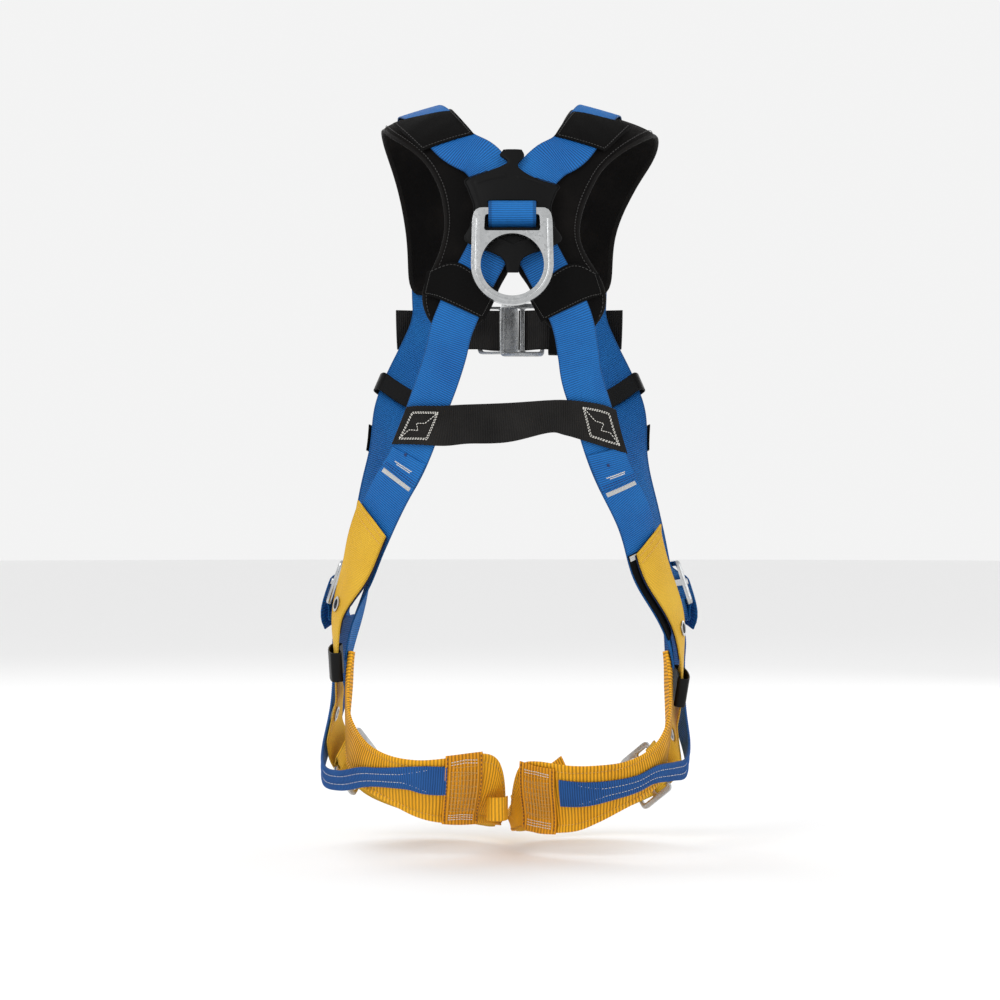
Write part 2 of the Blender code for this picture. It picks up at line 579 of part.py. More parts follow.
for label, side in SIDES:
    path = Path(LEG_ROWS[side], body=LEG[side], lifts=(LEG_LIFT,))
    leg = strap("leg_strap_" + label, path, "yellow_webbing", skew=(side * 0.010, 0))
    holes = []
    for k, d in enumerate(GROMMETS):
        m = path.frame(d, reach=0.004)
        holes.append(("hole", m, (6.4, 9)))
        eyelet("leg_grommet_%s_%d" % (label, k + 1), m, 5.0, 8.4, 1.9 if k else 1.4)
    cut(leg, holes)
    m = path.frame(LEG_AT, climbs=False) @ Matrix.Translation((0, 0, 3.6 * MM))
    flat("leg_buckle_frame_" + label,
         [box_outline(50, 62, 7), box_outline(18, 50, 3, -11.5), box_outline(18, 50, 3, 11.5)],
         3.0, m, "galvanised_steel", round_edge=0.7)
    bend("leg_buckle_prong_" + label, m, PRONG, 4.4 * MM, 1.8 * MM, "galvanised_steel",
         pivot=m.translation)
    bend("leg_buckle_loop_" + label, m, BAR_LOOP, WEB, 1.4 * MM, "yellow_webbing", closed=True)
    k = path.frame(KEEPER_AT, reach=0.012)
    bend("leg_keeper_" + label, k @ TURN, OVAL, 32 * MM, 1.6 * MM, "black_plastic", closed=True,
         pivot=k.translation)

# ---------------------------------------------------------------- torso adjusters and seat straps
for label, path in (("left", PATH_A), ("right", PATH_B)):
    m = path.frame(ADJUST_AT, climbs=False) @ Matrix.Translation((0, 0, 5.0 * MM))
    flat("torso_adjuster_frame_" + label, [box_outline(50, 64, 6), box_outline(39, 51, 3)],
         3.0, m, "galvanised_steel", round_edge=0.7)
    bar = m @ Matrix.Translation((0, 0, 3.1 * MM))
    flat("torso_adjuster_bar_" + label, [box_outline(7, 60, 2)], 2.4, bar, "galvanised_steel",
         pivot=bar.translation, round_edge=0.5)
    bend("torso_loop_" + label, m, [(a, b + 0.3 * max(0, -a - 26)) for a, b in BAR_LOOP], 44 * MM,
         1.4 * MM, "blue_webbing", closed=True)

SEAT_ROWS = {
    -1: [(-182, 42, -566, 25, 0, 44), (-184, 48, -600, 24, 0, 36), (-192, 43, -645, 24, 0, 30),
         (-198, 20, -690, 26.5, 0, 24), (-196, -14, -715, 23, 0, 22), (-180, -50, -718, 14, 0, 22),
         (-158, -80, -712, 6, 0, 22), (-135, -98, -709, 3.6, 0, 22), (-108, -112, -708, 3.4, 0, 26),
         (-88, -118, -711, 3.4, 0, 33), (-66, -119, -713, 3.4, 0, 34)],
    1: [(182, 42, -566, 25, 0, 44), (184, 48, -600, 24, 0, 36), (192, 43, -645, 24, 0, 30),
        (197, 20, -686, 25.5, 0, 24), (190, -16, -707, 20, 0, 22), (174, -54, -708, 12, 0, 21),
        (153, -80, -708, 5, 0, 21), (132, -94, -715, 3.6, 0, 21), (108, -108, -722, 3.4, 0, 24),
        (80, -112, -727, 3.4, 0, 30), (51, -108, -727, 3.4, 0, 34)],
}
for label, side in SIDES:
    strap("seat_strap_" + label, Path(SEAT_ROWS[side], body=LEG[side]), "blue_webbing",
          thickness=2.4 * MM)
    rows = {-1: ([(-67, -125, -684), (-45, -118, -681), (-30, -114, -680)],
                 [(-72, -89, -759), (-50, -78, -761), (-37, -66, -761)]),
            1: ([(46, -118, -699), (27, -110, -696), (10, -106, -692)],
                [(47, -84, -772), (28, -68, -772), (12, -52, -768)])}[side]
    sheet("seat_patch_" + label, *rows, [6.6, 6.6], 1.4 * MM, "orange_patch", body=LEG[side],
          rows=6, columns=6)

# narrow loop that joins the two leg pieces at the seat
bend("centre_loop", hang((-0.014, -0.084, -0.744), -1, 0) @ TURN,
     [(-10, -1), (-8, 4), (-4, 8), (1.5, 9), (7, 6), (10, -1), (11, -9)], 25 * MM, 2.0 * MM,
     "yellow_webbing", columns=2)

# ---------------------------------------------------------------- sleeves on the straps
strap("hip_sleeve_right", PATH_A, "black_webbing", thickness=1.2 * MM, over=2.6 * MM, wide=1.03,
      span=[PATH_A.nearest(p) for p in ((147, -38, -470), (174, -10, -562))])
for label, path in (("left", PATH_A), ("right", PATH_B)):
    side = -1 if label == "left" else 1
    strap("front_sleeve_" + label,
          Path(mirrored([(-150, 60, -372, 14.6, 2, 49), (-142, 64, -345, 12.6, 0, 49)], side)),
          "black_webbing", thickness=1.4 * MM)

# ---------------------------------------------------------------- chest strap
CHEST_Z = -228
CHEST_CLIMB = {-1: 11.6, 1: 9.6}
for label, side in SIDES:
    rows = [(-114, 78, CHEST_Z, 15), (-86, 96, CHEST_Z, 15.4), (-62, 105, CHEST_Z, 11),
            (-42, 110, CHEST_Z, 5), (-10, 114, CHEST_Z, 4)]
    top = CHEST_CLIMB[side]
    path = Path(mirrored(rows, side), lifts=((0.108, ((-12, 0), (5, top), (40, top))),))
    strap("chest_strap_" + label, path, "black_webbing")
    if side > 0:
        m = path.frame(0.115, climbs=False) @ Matrix.Translation((0, 0, 3.4 * MM))
        flat("chest_buckle_frame", [box_outline(50, 60, 6), box_outline(18, 49, 3, -11.5),
                                    box_outline(18, 49, 3, 11.5)], 2.6, m, "galvanised_steel")
        k = path.frame(0.076, reach=0.008)
        ring = [(a, b + 0.0035 * a * a) for a, b in OVAL]
        bend("chest_keeper", k @ TURN, ring, 18 * MM, 1.6 * MM, "black_webbing", closed=True,
             pivot=k.translation)
    else:
        m = path.frame(0.117, climbs=False) @ Matrix.Translation((0, 0, 7.6 * MM))
        flat("chest_buckle_plate", [box_outline(46, 54, 6), box_outline(20, 48, 3, -7.5)], 2.4, m,
             "galvanised_steel")
for label, path in (("left", PATH_A), ("right", PATH_B)):
    k = path.frame(0.269, reach=0.010)
    bend("lanyard_keeper_" + label, k @ TURN, OVAL, 22 * MM, 1.6 * MM, "black_plastic", closed=True,
         pivot=k.translation)
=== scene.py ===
"""Looks of the fall-arrest harness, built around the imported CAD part.

Webbing, pads and sleeves are laid on the same level surfaces of the wearer form as the CAD, with finer
grids, woven ribs, seams and stitching.  Units are metres, the back of the harness faces -Y.
"""
import math

import bmesh
import bpy
import numpy as np
from mathutils import Matrix, Vector


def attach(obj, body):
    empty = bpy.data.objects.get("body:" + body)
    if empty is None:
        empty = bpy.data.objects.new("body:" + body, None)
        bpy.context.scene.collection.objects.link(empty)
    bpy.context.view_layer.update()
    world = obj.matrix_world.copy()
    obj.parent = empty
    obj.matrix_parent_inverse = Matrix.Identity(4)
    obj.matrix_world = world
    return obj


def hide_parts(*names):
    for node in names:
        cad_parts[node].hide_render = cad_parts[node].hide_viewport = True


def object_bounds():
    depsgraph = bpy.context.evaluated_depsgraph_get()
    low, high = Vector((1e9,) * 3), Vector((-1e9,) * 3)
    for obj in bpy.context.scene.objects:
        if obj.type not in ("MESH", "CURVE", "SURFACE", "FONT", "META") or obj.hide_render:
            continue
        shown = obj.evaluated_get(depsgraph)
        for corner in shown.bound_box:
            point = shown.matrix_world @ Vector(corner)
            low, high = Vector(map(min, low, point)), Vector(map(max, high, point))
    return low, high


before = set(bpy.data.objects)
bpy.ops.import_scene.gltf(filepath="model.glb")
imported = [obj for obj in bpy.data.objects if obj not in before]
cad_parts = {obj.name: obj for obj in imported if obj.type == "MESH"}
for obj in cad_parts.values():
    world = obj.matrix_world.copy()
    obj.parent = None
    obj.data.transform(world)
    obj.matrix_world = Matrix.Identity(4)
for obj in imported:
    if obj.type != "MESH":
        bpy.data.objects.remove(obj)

CAD_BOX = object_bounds()

MM = 0.001
WEB = 44.5 * MM            # width of the main webbing
WEB_T = 1.8 * MM           # thickness of the main webbing
SLEEVE_T = 1.2 * MM        # thickness of the sleeves, patches and flaps
BLACK_RIB, SEAT_RIB, BAND_RIB = 0.0024, 0.0024, 0.0037     # pitch of the woven ribs, modelled and shaded
NO_RIM = 1.0               # a half width that no strap has, so its edges stay undarkened
# wearer form: (centre, radii) of the ellipsoids that are blended together
CHEST = ((0.0, -0.005, -0.21), (0.188, 0.120, 0.21))
SHOULDERS = ((0.003, -0.012, -0.10), (0.225, 0.078, 0.092))
WAIST = ((0.0, 0.0, -0.42), (0.146, 0.098, 0.22))
HIPS = ((0.0, -0.005, -0.60), (0.170, 0.108, 0.15))
SEAT_L = ((-0.080, -0.048, -0.655), (0.085, 0.078, 0.10))
SEAT_R = ((0.080, -0.048, -0.655), (0.085, 0.078, 0.10))
THIGH_L = ((-0.097, 0.0, -0.80), (0.082, 0.085, 0.26))
THIGH_R = ((0.088, 0.0, -0.80), (0.082, 0.085, 0.26))
TORSO = (CHEST, SHOULDERS, WAIST, HIPS)
BODY = TORSO + (SEAT_L, SEAT_R, THIGH_L, THIGH_R)
LEG = {-1: TORSO + (SEAT_L, THIGH_L), 1: TORSO + (SEAT_R, THIGH_R)}
BLEND = 0.012              # how softly the ellipsoids run into each other
TANGENT_STEP = 0.004       # a strap's direction is taken over twice this length


# ---- wearer form
def form(p, body):
    """Signed distance to the blended wearer form."""
    total = 0.0
    for centre, radii in body:
        q = (p - np.array(centre)) / np.array(radii)
        k0 = np.linalg.norm(q, axis=-1)
        k1 = np.linalg.norm(q / np.array(radii), axis=-1)
        d = k0 * (k0 - 1.0) / np.maximum(k1, 1e-9)
        total = total + np.exp(-np.clip(d, -0.2, 1.0) / BLEND)
    return -BLEND * np.log(total)


def slope(p, body, e=5e-4):
    """Gradient of the form distance."""
    g = np.zeros_like(p)
    for k in range(3):
        step = np.zeros(3)
        step[k] = e
        g[..., k] = (form(p + step, body) - form(p - step, body)) / (2 * e)
    return g


def settle(p, height, body):
    """Moves points along the form's gradient until they lie at the given height above it."""
    p = np.array(p, float)
    for _ in range(8):
        g = slope(p, body)
        p -= g * ((form(p, body) - height) / (g * g).sum(-1))[..., None]
    return p


def smooth(points, per=12):
    """Catmull-Rom curve through the rows of points."""
    p = np.array(points, float)
    p = np.vstack([2 * p[0] - p[1], p, 2 * p[-1] - p[-2]])
    rows = []
    for i in range(1, len(p) - 2):
        t = np.linspace(0, 1, per, endpoint=False)[:, None]
        a, b, c, d = p[i - 1], p[i], p[i + 1], p[i + 2]
        rows.append(0.5 * (2 * b + (c - a) * t + (2 * a - 5 * b + 4 * c - d) * t**2
                           + (3 * b - a - 3 * c + d) * t**3))
    rows.append(p[-2][None])
    return np.vstack(rows)


def unit(a):
    """Vectors scaled to length one."""
    return a / np.linalg.norm(a, axis=-1, keepdims=True)


def run_of(points):
    """Distance along a line at each of its points."""
    return np.concatenate([[0], np.cumsum(np.linalg.norm(np.diff(points, axis=0), axis=1))])


def lerp(d, arc, points):
    """Points of a line at distances d along it."""
    return np.stack([np.interp(d, arc, column) for column in points.T], -1)


def scene_object(name, data):
    """A new object, linked into the scene."""
    ob = bpy.data.objects.new(name, data)
    bpy.context.scene.collection.objects.link(ob)
    return ob


class Path:
    """A line laid on the form: rows of (x, y, z, height, tilt, width) in millimetres.

    The tilt raises one edge of the webbing and lowers the other.  A lift is a distance and the
    extra heights around it, where the webbing climbs over a buckle bar.
    """

    def __init__(self, rows, body=BODY, lifts=()):
        rows = [tuple(r) + (0.0, WEB / MM)[len(r) - 4:] for r in rows]
        line = smooth(np.array(rows) * MM)
        self.body = body
        self.points = settle(line[:, :3], line[:, 3], body)
        self.heights, self.tilts, self.widths = line[:, 3:].T
        self.arc = run_of(self.points)
        self.length = self.arc[-1]
        self.lifts = lifts

    def at(self, d):
        """Centre point, tangent, height, tilt and width at distances d along the line."""
        d = np.asarray(d, float)
        inside = np.clip(d, 0, self.length)
        behind, c, ahead = (lerp(np.clip(inside + step, 0, self.length), self.arc, self.points)
                            for step in (-TANGENT_STEP, 0, TANGENT_STEP))
        tangent = unit(ahead - behind)
        c = c + tangent * (d - inside)[..., None]
        return c, tangent, *(np.interp(inside, self.arc, values)
                             for values in (self.heights, self.tilts, self.widths))

    def lift(self, d):
        """Extra height where the strap climbs over a bar, rounded off over a few millimetres."""
        rise = np.zeros_like(np.asarray(d, float))
        for at, profile in self.lifts:
            offsets, values = np.array(profile).T * MM
            for shift in (-0.003, 0.0, 0.003):
                rise = rise + np.interp(d - at + shift, offsets, values) / 3
        return rise

    def place(self, d, v, w, thickness, skew=(0, 0)):
        """World points for distance d, side v (-1..1) and layer w (0 under, 1 over)."""
        t = d / self.length
        d = d + v * (skew[0] * np.clip(1 - 3 * t, 0, 1) + skew[1] * np.clip(3 * t - 2, 0, 1))
        c, tangent, height, tilt, width = self.at(d)
        out = unit(slope(c, self.body))
        across = unit(np.cross(tangent, out))
        p = c + across * (v * width / 2)[..., None]
        return settle(p, height + tilt * v + self.lift(d) + w * thickness, self.body)

    def frame(self, d, reach=0.008, climbs=True, raised=0.0):
        """Matrix raised mm over the middle of the webbing: X along it, Y across, Z outward."""
        lifts, self.lifts = self.lifts, self.lifts if climbs else ()
        half = np.full(2, 0.5)
        ends = self.place(np.array([d - reach, d + reach]), np.zeros(2), half, WEB_T)
        sides = self.place(np.array([d, d]), np.array([0.3, -0.3]), half, WEB_T)
        middle = self.place(np.array([d, d]), np.zeros(2), half, WEB_T)[0]
        self.lifts = lifts
        along, across = unit(ends[1] - ends[0]), unit(sides[1] - sides[0])
        out = unit(np.cross(along, across))
        columns = np.stack((along, np.cross(out, along), out, middle), 1)
        return Matrix((*columns.tolist(), (0, 0, 0, 1))) @ Matrix.Translation((0, 0, raised * MM))

    def half(self, d):
        return np.interp(d, self.arc, self.widths) / 2

    def nearest(self, point):
        """Distance along the line of the point closest to a world point in millimetres."""
        gap = np.linalg.norm(self.points - np.array(point) * MM, axis=1)
        return float(self.arc[gap.argmin()])


# ---- materials
def put(node, values):
    """Sets a node's inputs by their names."""
    for socket, value in values.items():
        node.inputs[socket].default_value = value


class Graph:
    """Short calls for a procedural material's nodes."""

    def __init__(self, name, rough, metal=0.0, sheen=0.0, shine=0.5):
        self.mat = bpy.data.materials.new(name)
        self.mat.use_nodes = True
        self.tree = self.mat.node_tree
        self.shader = self.tree.nodes["Principled BSDF"]
        put(self.shader, {"Roughness": rough, "Metallic": metal, "Sheen Weight": sheen,
                          "Sheen Roughness": 0.45, "Specular IOR Level": shine})

    def node(self, kind, **values):
        made = self.tree.nodes.new(kind)
        for key, value in values.items():
            setattr(made, key, value)
        return made

    def plug(self, socket, value):
        if isinstance(value, bpy.types.NodeSocket):
            self.tree.links.new(value, socket)
        else:
            socket.default_value = value

    def math(self, op, a, b=0.0, c=None):
        made = self.node("ShaderNodeMath", operation=op)
        for socket, value in zip(made.inputs, (a, b, c)):
            if value is not None:
                self.plug(socket, value)
        return made.outputs[0]

    def mix(self, share, a, b):
        made = self.node("ShaderNodeMix", data_type="RGBA")
        for socket, value in zip((made.inputs[0], made.inputs[6], made.inputs[7]), (share, a, b)):
            if isinstance(value, tuple):
                value = (*value, 1.0)[:4]
            self.plug(socket, value)
        return made.outputs[2]

    def texture(self, kind, **values):
        """A texture node in the object's own coordinates."""
        made = self.node(kind)
        self.plug(made.inputs["Vector"], self.node("ShaderNodeTexCoord").outputs["Object"])
        put(made, values)
        return made.outputs

    def noise(self, scale, detail=3.0, rough=0.55, distortion=0.0):
        return self.texture("ShaderNodeTexNoise", Scale=scale, Detail=detail, Roughness=rough,
                            Distortion=distortion)["Fac"]

    def spread(self, value, low, high, to_low=0.0, to_high=1.0):
        made = self.node("ShaderNodeMapRange")
        for socket, v in zip(made.inputs, (value, low, high, to_low, to_high)):
            self.plug(socket, v)
        return made.outputs[0]

    def web_uv(self):
        """Metres along and across the webbing."""
        uv = self.node("ShaderNodeUVMap", uv_map="web")
        parts = self.node("ShaderNodeSeparateXYZ")
        self.plug(parts.inputs[0], uv.outputs[0])
        return parts.outputs[0], parts.outputs[1]

    def bump(self, height, distance, strength=1.0, under=None):
        made = self.node("ShaderNodeBump")
        put(made, {"Strength": strength, "Distance": distance})
        self.plug(made.inputs["Height"], height)
        if under is not None:
            self.plug(made.inputs["Normal"], under)
        return made.outputs[0]

    def finish(self, colour, normal, rough=None):
        for socket, value in (("Base Color", colour), ("Normal", normal), ("Roughness", rough)):
            if value is not None:
                self.plug(self.shader.inputs[socket], value)
        return self.mat


def shade_of(colour, factor):
    return tuple(c * factor for c in colour)


def webbing(name, colour, pale, rib, fine=0.0011, rib_depth=0.00045, rough=0.62, sheen=0.05,
            edge_dark=0.55, half=WEB / 2, shine=0.2, valley_shade=0.2):
    """Woven polyester: ribs across the strap with painted shade in their valleys, warp yarns along it,
    darker selvedges, slight fading.
    """
    g = Graph(name, rough, sheen=sheen, shine=shine)
    put(g.shader, {"Sheen Tint": (*pale, 1)})
    u, v = g.web_uv()
    wobble = g.math("MULTIPLY", g.math("SUBTRACT", g.noise(60, 1), 0.5), rib * 0.25)
    row = g.math("MULTIPLY", g.math("ADD", u, wobble), 2 * math.pi / rib)
    ribs = g.math("MULTIPLY_ADD", g.math("SINE", row), 0.5, 0.5)
    ribs = g.math("POWER", ribs, 0.9)
    yarn_row = g.math("MULTIPLY", v, 2 * math.pi / fine)
    yarn = g.math("SINE", g.math("ADD", yarn_row, g.math("MULTIPLY", row, 0.5)))
    yarn = g.math("MULTIPLY_ADD", yarn, 0.5, 0.5)
    height = g.math("ADD", g.math("MULTIPLY", ribs, 0.72), g.math("MULTIPLY", yarn, 0.28))
    # painted shade: the rib valleys and yarn hollows are darker than the rib tops
    tone = g.mix(g.spread(height, 0.08, 0.8), shade_of(colour, valley_shade), colour)
    fade = g.spread(g.noise(14, 4), 0.32, 0.72)
    tone = g.mix(g.math("MULTIPLY", fade, 0.30), tone, pale)
    fuzz = g.spread(g.noise(900, 2), 0.35, 0.7)
    tone = g.mix(g.math("MULTIPLY", fuzz, 0.14), tone, shade_of(colour, 0.5))
    rim = g.spread(g.math("ABSOLUTE", v), half - 0.0018, half - 0.0006)
    tone = g.mix(g.math("MULTIPLY", rim, edge_dark), tone, shade_of(colour, 0.22))
    return g.finish(tone, g.bump(height, rib_depth), g.spread(fade, 0, 1, rough - 0.06, rough + 0.1))


def padding(name, colour, sheen_tint):
    """Knitted cover of the pads: a fine mesh of small loops with painted shade in their hollows, matt, with
    a soft sheen at the edges.
    """
    g = Graph(name, 0.85, sheen=0.025, shine=0.06)
    put(g.shader, {"Sheen Tint": (*sheen_tint, 1)})
    u, v = g.web_uv()
    rows = g.math("SINE", g.math("MULTIPLY", g.math("ADD", u, v), 2 * math.pi / 0.0016))
    cols = g.math("SINE", g.math("MULTIPLY", g.math("SUBTRACT", u, v), 2 * math.pi / 0.0016))
    loops = g.math("MULTIPLY_ADD", g.math("MULTIPLY", rows, cols), 0.5, 0.5)
    # painted shade: the hollows between the knit's loops are darker than their tops
    tone = g.mix(g.spread(loops, 0.1, 0.9), shade_of(colour, 0.5), colour)
    dust = g.spread(g.noise(24, 5), 0.45, 0.8)
    tone = g.mix(g.math("MULTIPLY", dust, 0.25), tone, shade_of(sheen_tint, 0.05))
    soft = g.bump(g.noise(180, 3), 0.0006, 0.5)
    return g.finish(tone, g.bump(loops, 0.0003, 0.8, soft), g.spread(dust, 0, 1, 0.78, 0.92))


def thread(name, colour):
    """Twisted sewing thread, a little uneven in colour."""
    g = Graph(name, 0.6, sheen=0.1)
    tone = g.mix(g.spread(g.noise(700, 2), 0.3, 0.7), shade_of(colour, 0.72), colour)
    return g.finish(tone, g.bump(g.noise(2600, 2), 0.0002, 0.6))


def plastic(name, colour, rough):
    """Moulded nylon with a fine spark-eroded grain and rubbed edges."""
    g = Graph(name, rough, shine=0.12)
    worn = g.spread(g.noise(38, 5), 0.5, 0.8)
    tone = g.mix(g.math("MULTIPLY", worn, 0.35), colour, shade_of(colour, 2.2))
    return g.finish(tone, g.bump(g.noise(900, 3), 0.0002, 0.5), g.spread(worn, 0, 1, rough, rough + 0.18))


def steel(name, light, dark, rough, spangle):
    """Zinc-plated steel: crystal patches of slightly different grey, fine scratches, dull spots."""
    g = Graph(name, rough, metal=1.0)
    shade = g.node("ShaderNodeSeparateColor")
    g.plug(shade.inputs[0], g.texture("ShaderNodeTexVoronoi", Scale=spangle)["Color"])
    patch = g.spread(shade.outputs[0], 0, 1, 0.0, 0.55)
    # the cloudy spread between light and dark grey is partly the zinc's own clouding and partly painted
    # reflection contrast
    cloud = g.spread(g.noise(55, 6, 0.65), 0.3, 0.7)
    tone = g.mix(g.math("MAXIMUM", patch, g.math("MULTIPLY", cloud, 0.6)), light, dark)
    scratch = g.noise(420, 6, 0.75, 1.2)
    dull = g.math("MULTIPLY_ADD", cloud, 0.16, rough)
    return g.finish(tone, g.bump(g.math("ADD", scratch, g.math("MULTIPLY", patch, 0.5)), 0.00012, 0.5), dull)


PAINTS = {}                # finish: (material, the record's slot)


def paints(slot, **materials):
    """Files finishes under one slot of the record."""
    PAINTS.update((key, (material, slot)) for key, material in materials.items())


paints("blue_webbing",
       blue=webbing("blue_weave", (0.008, 0.148, 0.505), (0.028, 0.250, 0.660), 0.0023),
       blue_seat=webbing("blue_seat_weave", (0.013, 0.092, 0.330), (0.040, 0.170, 0.480), SEAT_RIB,
                         half=NO_RIM),
       navy=webbing("navy_weave", (0.006, 0.014, 0.050), (0.015, 0.03, 0.09), 0.0020, half=NO_RIM),
       white=webbing("white_tape_weave", (0.80, 0.80, 0.78), (0.9, 0.9, 0.88), 0.0010, half=NO_RIM),
       pale_thread=thread("pale_thread", (0.82, 0.80, 0.74)),
       blue_thread=thread("blue_thread", (0.008, 0.035, 0.16)))
paints("yellow_webbing",
       yellow=webbing("yellow_weave", (1.0, 0.565, 0.036), (1.0, 0.69, 0.085), 0.0016, 0.0014,
                      edge_dark=0.35),
       band=webbing("yellow_band_weave", (0.93, 0.42, 0.012), (1.0, 0.55, 0.035), BAND_RIB, 0.0013,
                    0.0005, half=NO_RIM))
paints("orange_patch",
       patch=webbing("orange_patch_weave", (0.80, 0.315, 0.010), (0.90, 0.42, 0.025), BAND_RIB,
                     half=NO_RIM),
       gold_thread=thread("gold_thread", (0.66, 0.40, 0.11)),
       brown_thread=thread("brown_thread", (0.13, 0.045, 0.014)))
paints("black_webbing",
       black=webbing("black_weave", (0.0100, 0.0094, 0.0092), (0.060, 0.056, 0.053), BLACK_RIB,
                     rib_depth=0.0006, shine=0.12, valley_shade=0.1),
       sleeve=webbing("black_sleeve_weave", (0.0042, 0.0040, 0.0040), (0.009, 0.0085, 0.008), 0.0009,
                      0.0009, 0.0002, half=NO_RIM, sheen=0.02, shine=0.05),
       binding=webbing("pad_binding_weave", (0.0075, 0.0069, 0.0066), (0.020, 0.017, 0.015), 0.0012,
                       0.001, 0.0003, half=NO_RIM, sheen=0.04, shine=0.08),
       black_thread=thread("black_thread", (0.03, 0.028, 0.027)))
paints("pad_fabric", pad=padding("pad_knit", (0.0048, 0.0044, 0.0043), (0.55, 0.47, 0.42)))
paints("black_plastic",
       plate=plastic("plate_nylon", (0.0024, 0.0024, 0.0025), 0.5),
       keeper=plastic("keeper_nylon", (0.006, 0.006, 0.0062), 0.42))
paints("galvanised_steel",
       steel=steel("galvanised_zinc", (0.57, 0.58, 0.585), (0.30, 0.31, 0.315), 0.17, 420))
paints("grommet_steel",
       grommet=steel("grommet_nickel", (0.62, 0.62, 0.61), (0.36, 0.36, 0.36), 0.24, 700))


# ---- pieces
def add(name, verts, faces, paint, node=None, uvs=None, body="harness", angle=42):
    """Makes a mesh piece, gives it its finish, its body and the node it replaces."""
    material, slot = PAINTS[paint]
    mesh = bpy.data.meshes.new(name)
    mesh.from_pydata([tuple(p) for p in np.asarray(verts).reshape(-1, 3)], [], faces)
    if uvs is not None:
        corner = np.empty(len(mesh.loops), np.int32)
        mesh.loops.foreach_get("vertex_index", corner)
        layer = mesh.uv_layers.new(name="web")
        layer.data.foreach_set("uv", np.asarray(uvs).reshape(-1, 2)[corner].astype(np.float32).ravel())
    bm = bmesh.new()
    bm.from_mesh(mesh)
    bmesh.ops.recalc_face_normals(bm, faces=bm.faces)
    bm.to_mesh(mesh)
    bm.free()
    mesh.polygons.foreach_set("use_smooth", [True] * len(mesh.polygons))
    mesh.set_sharp_from_angle(angle=math.radians(angle))
    mesh.materials.append(material)
    ob = scene_object(name, mesh)
    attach(ob, body)
    if node:
        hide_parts(node)
    return ob


def skin(n, m, closed=False, flat_ends=True):
    """Faces over n rings of m points; open ends are capped."""
    faces = []
    for i in range(n if closed else n - 1):
        a, b = i * m, ((i + 1) % n) * m
        faces += [(a + j, a + (j + 1) % m, b + (j + 1) % m, b + j) for j in range(m)]
    for base in () if closed else (0, (n - 1) * m):
        if flat_ends:
            for k in range(m // 2):
                quad = [k, k + 1, m - k - 1, (m - k) % m]
                faces.append(tuple(base + q for q in dict.fromkeys(quad)))
        else:
            faces.append(tuple(base + j for j in range(m)))
    return faces


def closed_section(top_v, top_w):
    """Adds the under side to the across and layer values of a section's upper side."""
    return np.array(top_v + top_v[-2:0:-1]), np.array(top_w + [1 - w for w in top_w[-2:0:-1]])


def section(columns):
    """Rounded flat section: across (-1..1) and layer (0..1) of each point, over the top and back."""
    top_v = [-1.0, -0.985, -0.95, *np.linspace(-0.86, 0.86, columns), 0.95, 0.985, 1.0]
    top_w = [0.5, 0.87, 1.0, *[1.0] * columns, 1.0, 0.87, 0.5]
    return closed_section(top_v, top_w)


class Sheet:
    """A cut sheet between two edge lines, with the same calls as a Path.

    The height is in mm, the drop lowers both sides, the rim is their thickness, round_by rounds the corners.
    """

    def __init__(self, edge_a, edge_b, height, body=BODY, drop=0.0, rim=None, round_by=0.0, end_drop=0.0):
        self.a, self.b = smooth(np.array(edge_a) * MM), smooth(np.array(edge_b) * MM)
        self.arc = run_of((self.a + self.b) / 2)
        self.length = self.arc[-1]
        self.halves = np.linalg.norm(self.a - self.b, axis=1) / 2
        self.height, self.body, self.rim, self.round_by = height * MM, body, rim, round_by
        self.drop, self.end_drop = drop, end_drop

    def half(self, d):
        return np.interp(d, self.arc, self.halves)

    def place(self, d, v, w, thickness, skew=(0, 0)):
        if self.round_by:
            near = np.clip(np.minimum(d, self.length - d), 0, self.round_by)
            inset = self.round_by - np.sqrt(self.round_by**2 - (self.round_by - near)**2)
            v = v * (1 - inset / self.half(d))
        pa, pb = (lerp(d, self.arc, edge) for edge in (self.a, self.b))
        mix = ((v + 1) / 2)[..., None]
        full = thickness if self.rim is None else self.rim + (thickness - self.rim) * (1 - np.abs(v)**4)
        ends = np.clip(1 - np.minimum(d, self.length - d) / 0.012, 0, 1)**2
        h = self.height - self.drop * np.abs(v)**4 - self.end_drop * ends
        return settle(pa * (1 - mix) + pb * mix, h + w * full, self.body)


def ribbon(name, path, paint, node=None, thickness=WEB_T, span=None, skew=(0, 0), step=0.004,
           columns=7, across=(-1, 1), over=0.0, relief=None):
    """A flat woven piece on a path or sheet; over lifts it, relief(d, v) shapes its top face."""
    start, stop = span or (0.0, path.length)
    marks = np.linspace(start, stop, max(4, int(round((stop - start) / step)) + 1))
    v, w = section(columns)
    d, v = np.meshgrid(marks, (across[0] + (v + 1) / 2 * (across[1] - across[0])), indexing="ij")
    w = np.broadcast_to(w, d.shape) + over / thickness
    if relief is not None:
        w = w + relief(d, v) / thickness * (w - over / thickness > 0.6)
    points = path.place(d, v, w, thickness, skew)
    return add(name, points, skin(*d.shape), paint, node, np.stack([d, v * path.half(d)], -1))


def top_of(path, thickness=WEB_T, over=0.0, skew=(0, 0)):
    """Points at (d, v) on a ribbon's top face, as a function, and the form under it."""
    return lambda d, v: path.place(d, v, 1 + over / thickness, thickness, skew), path.body


def across_at(reach, *distances):
    """Sewing lines straight across, from -reach to reach of the half width."""
    return [[(d, -reach), (d, reach)] for d in distances]


def box_line(at, a, b):
    """A sewing line round a box of half length a and half width b."""
    return [(at - a, -b), (at + a, -b), (at + a, b), (at - a, b), (at - a, -b)]


def along_at(start, stop, *sides):
    """Sewing lines along a strap at shares of its half width."""
    return [[(start, v), (stop, v)] for v in sides]


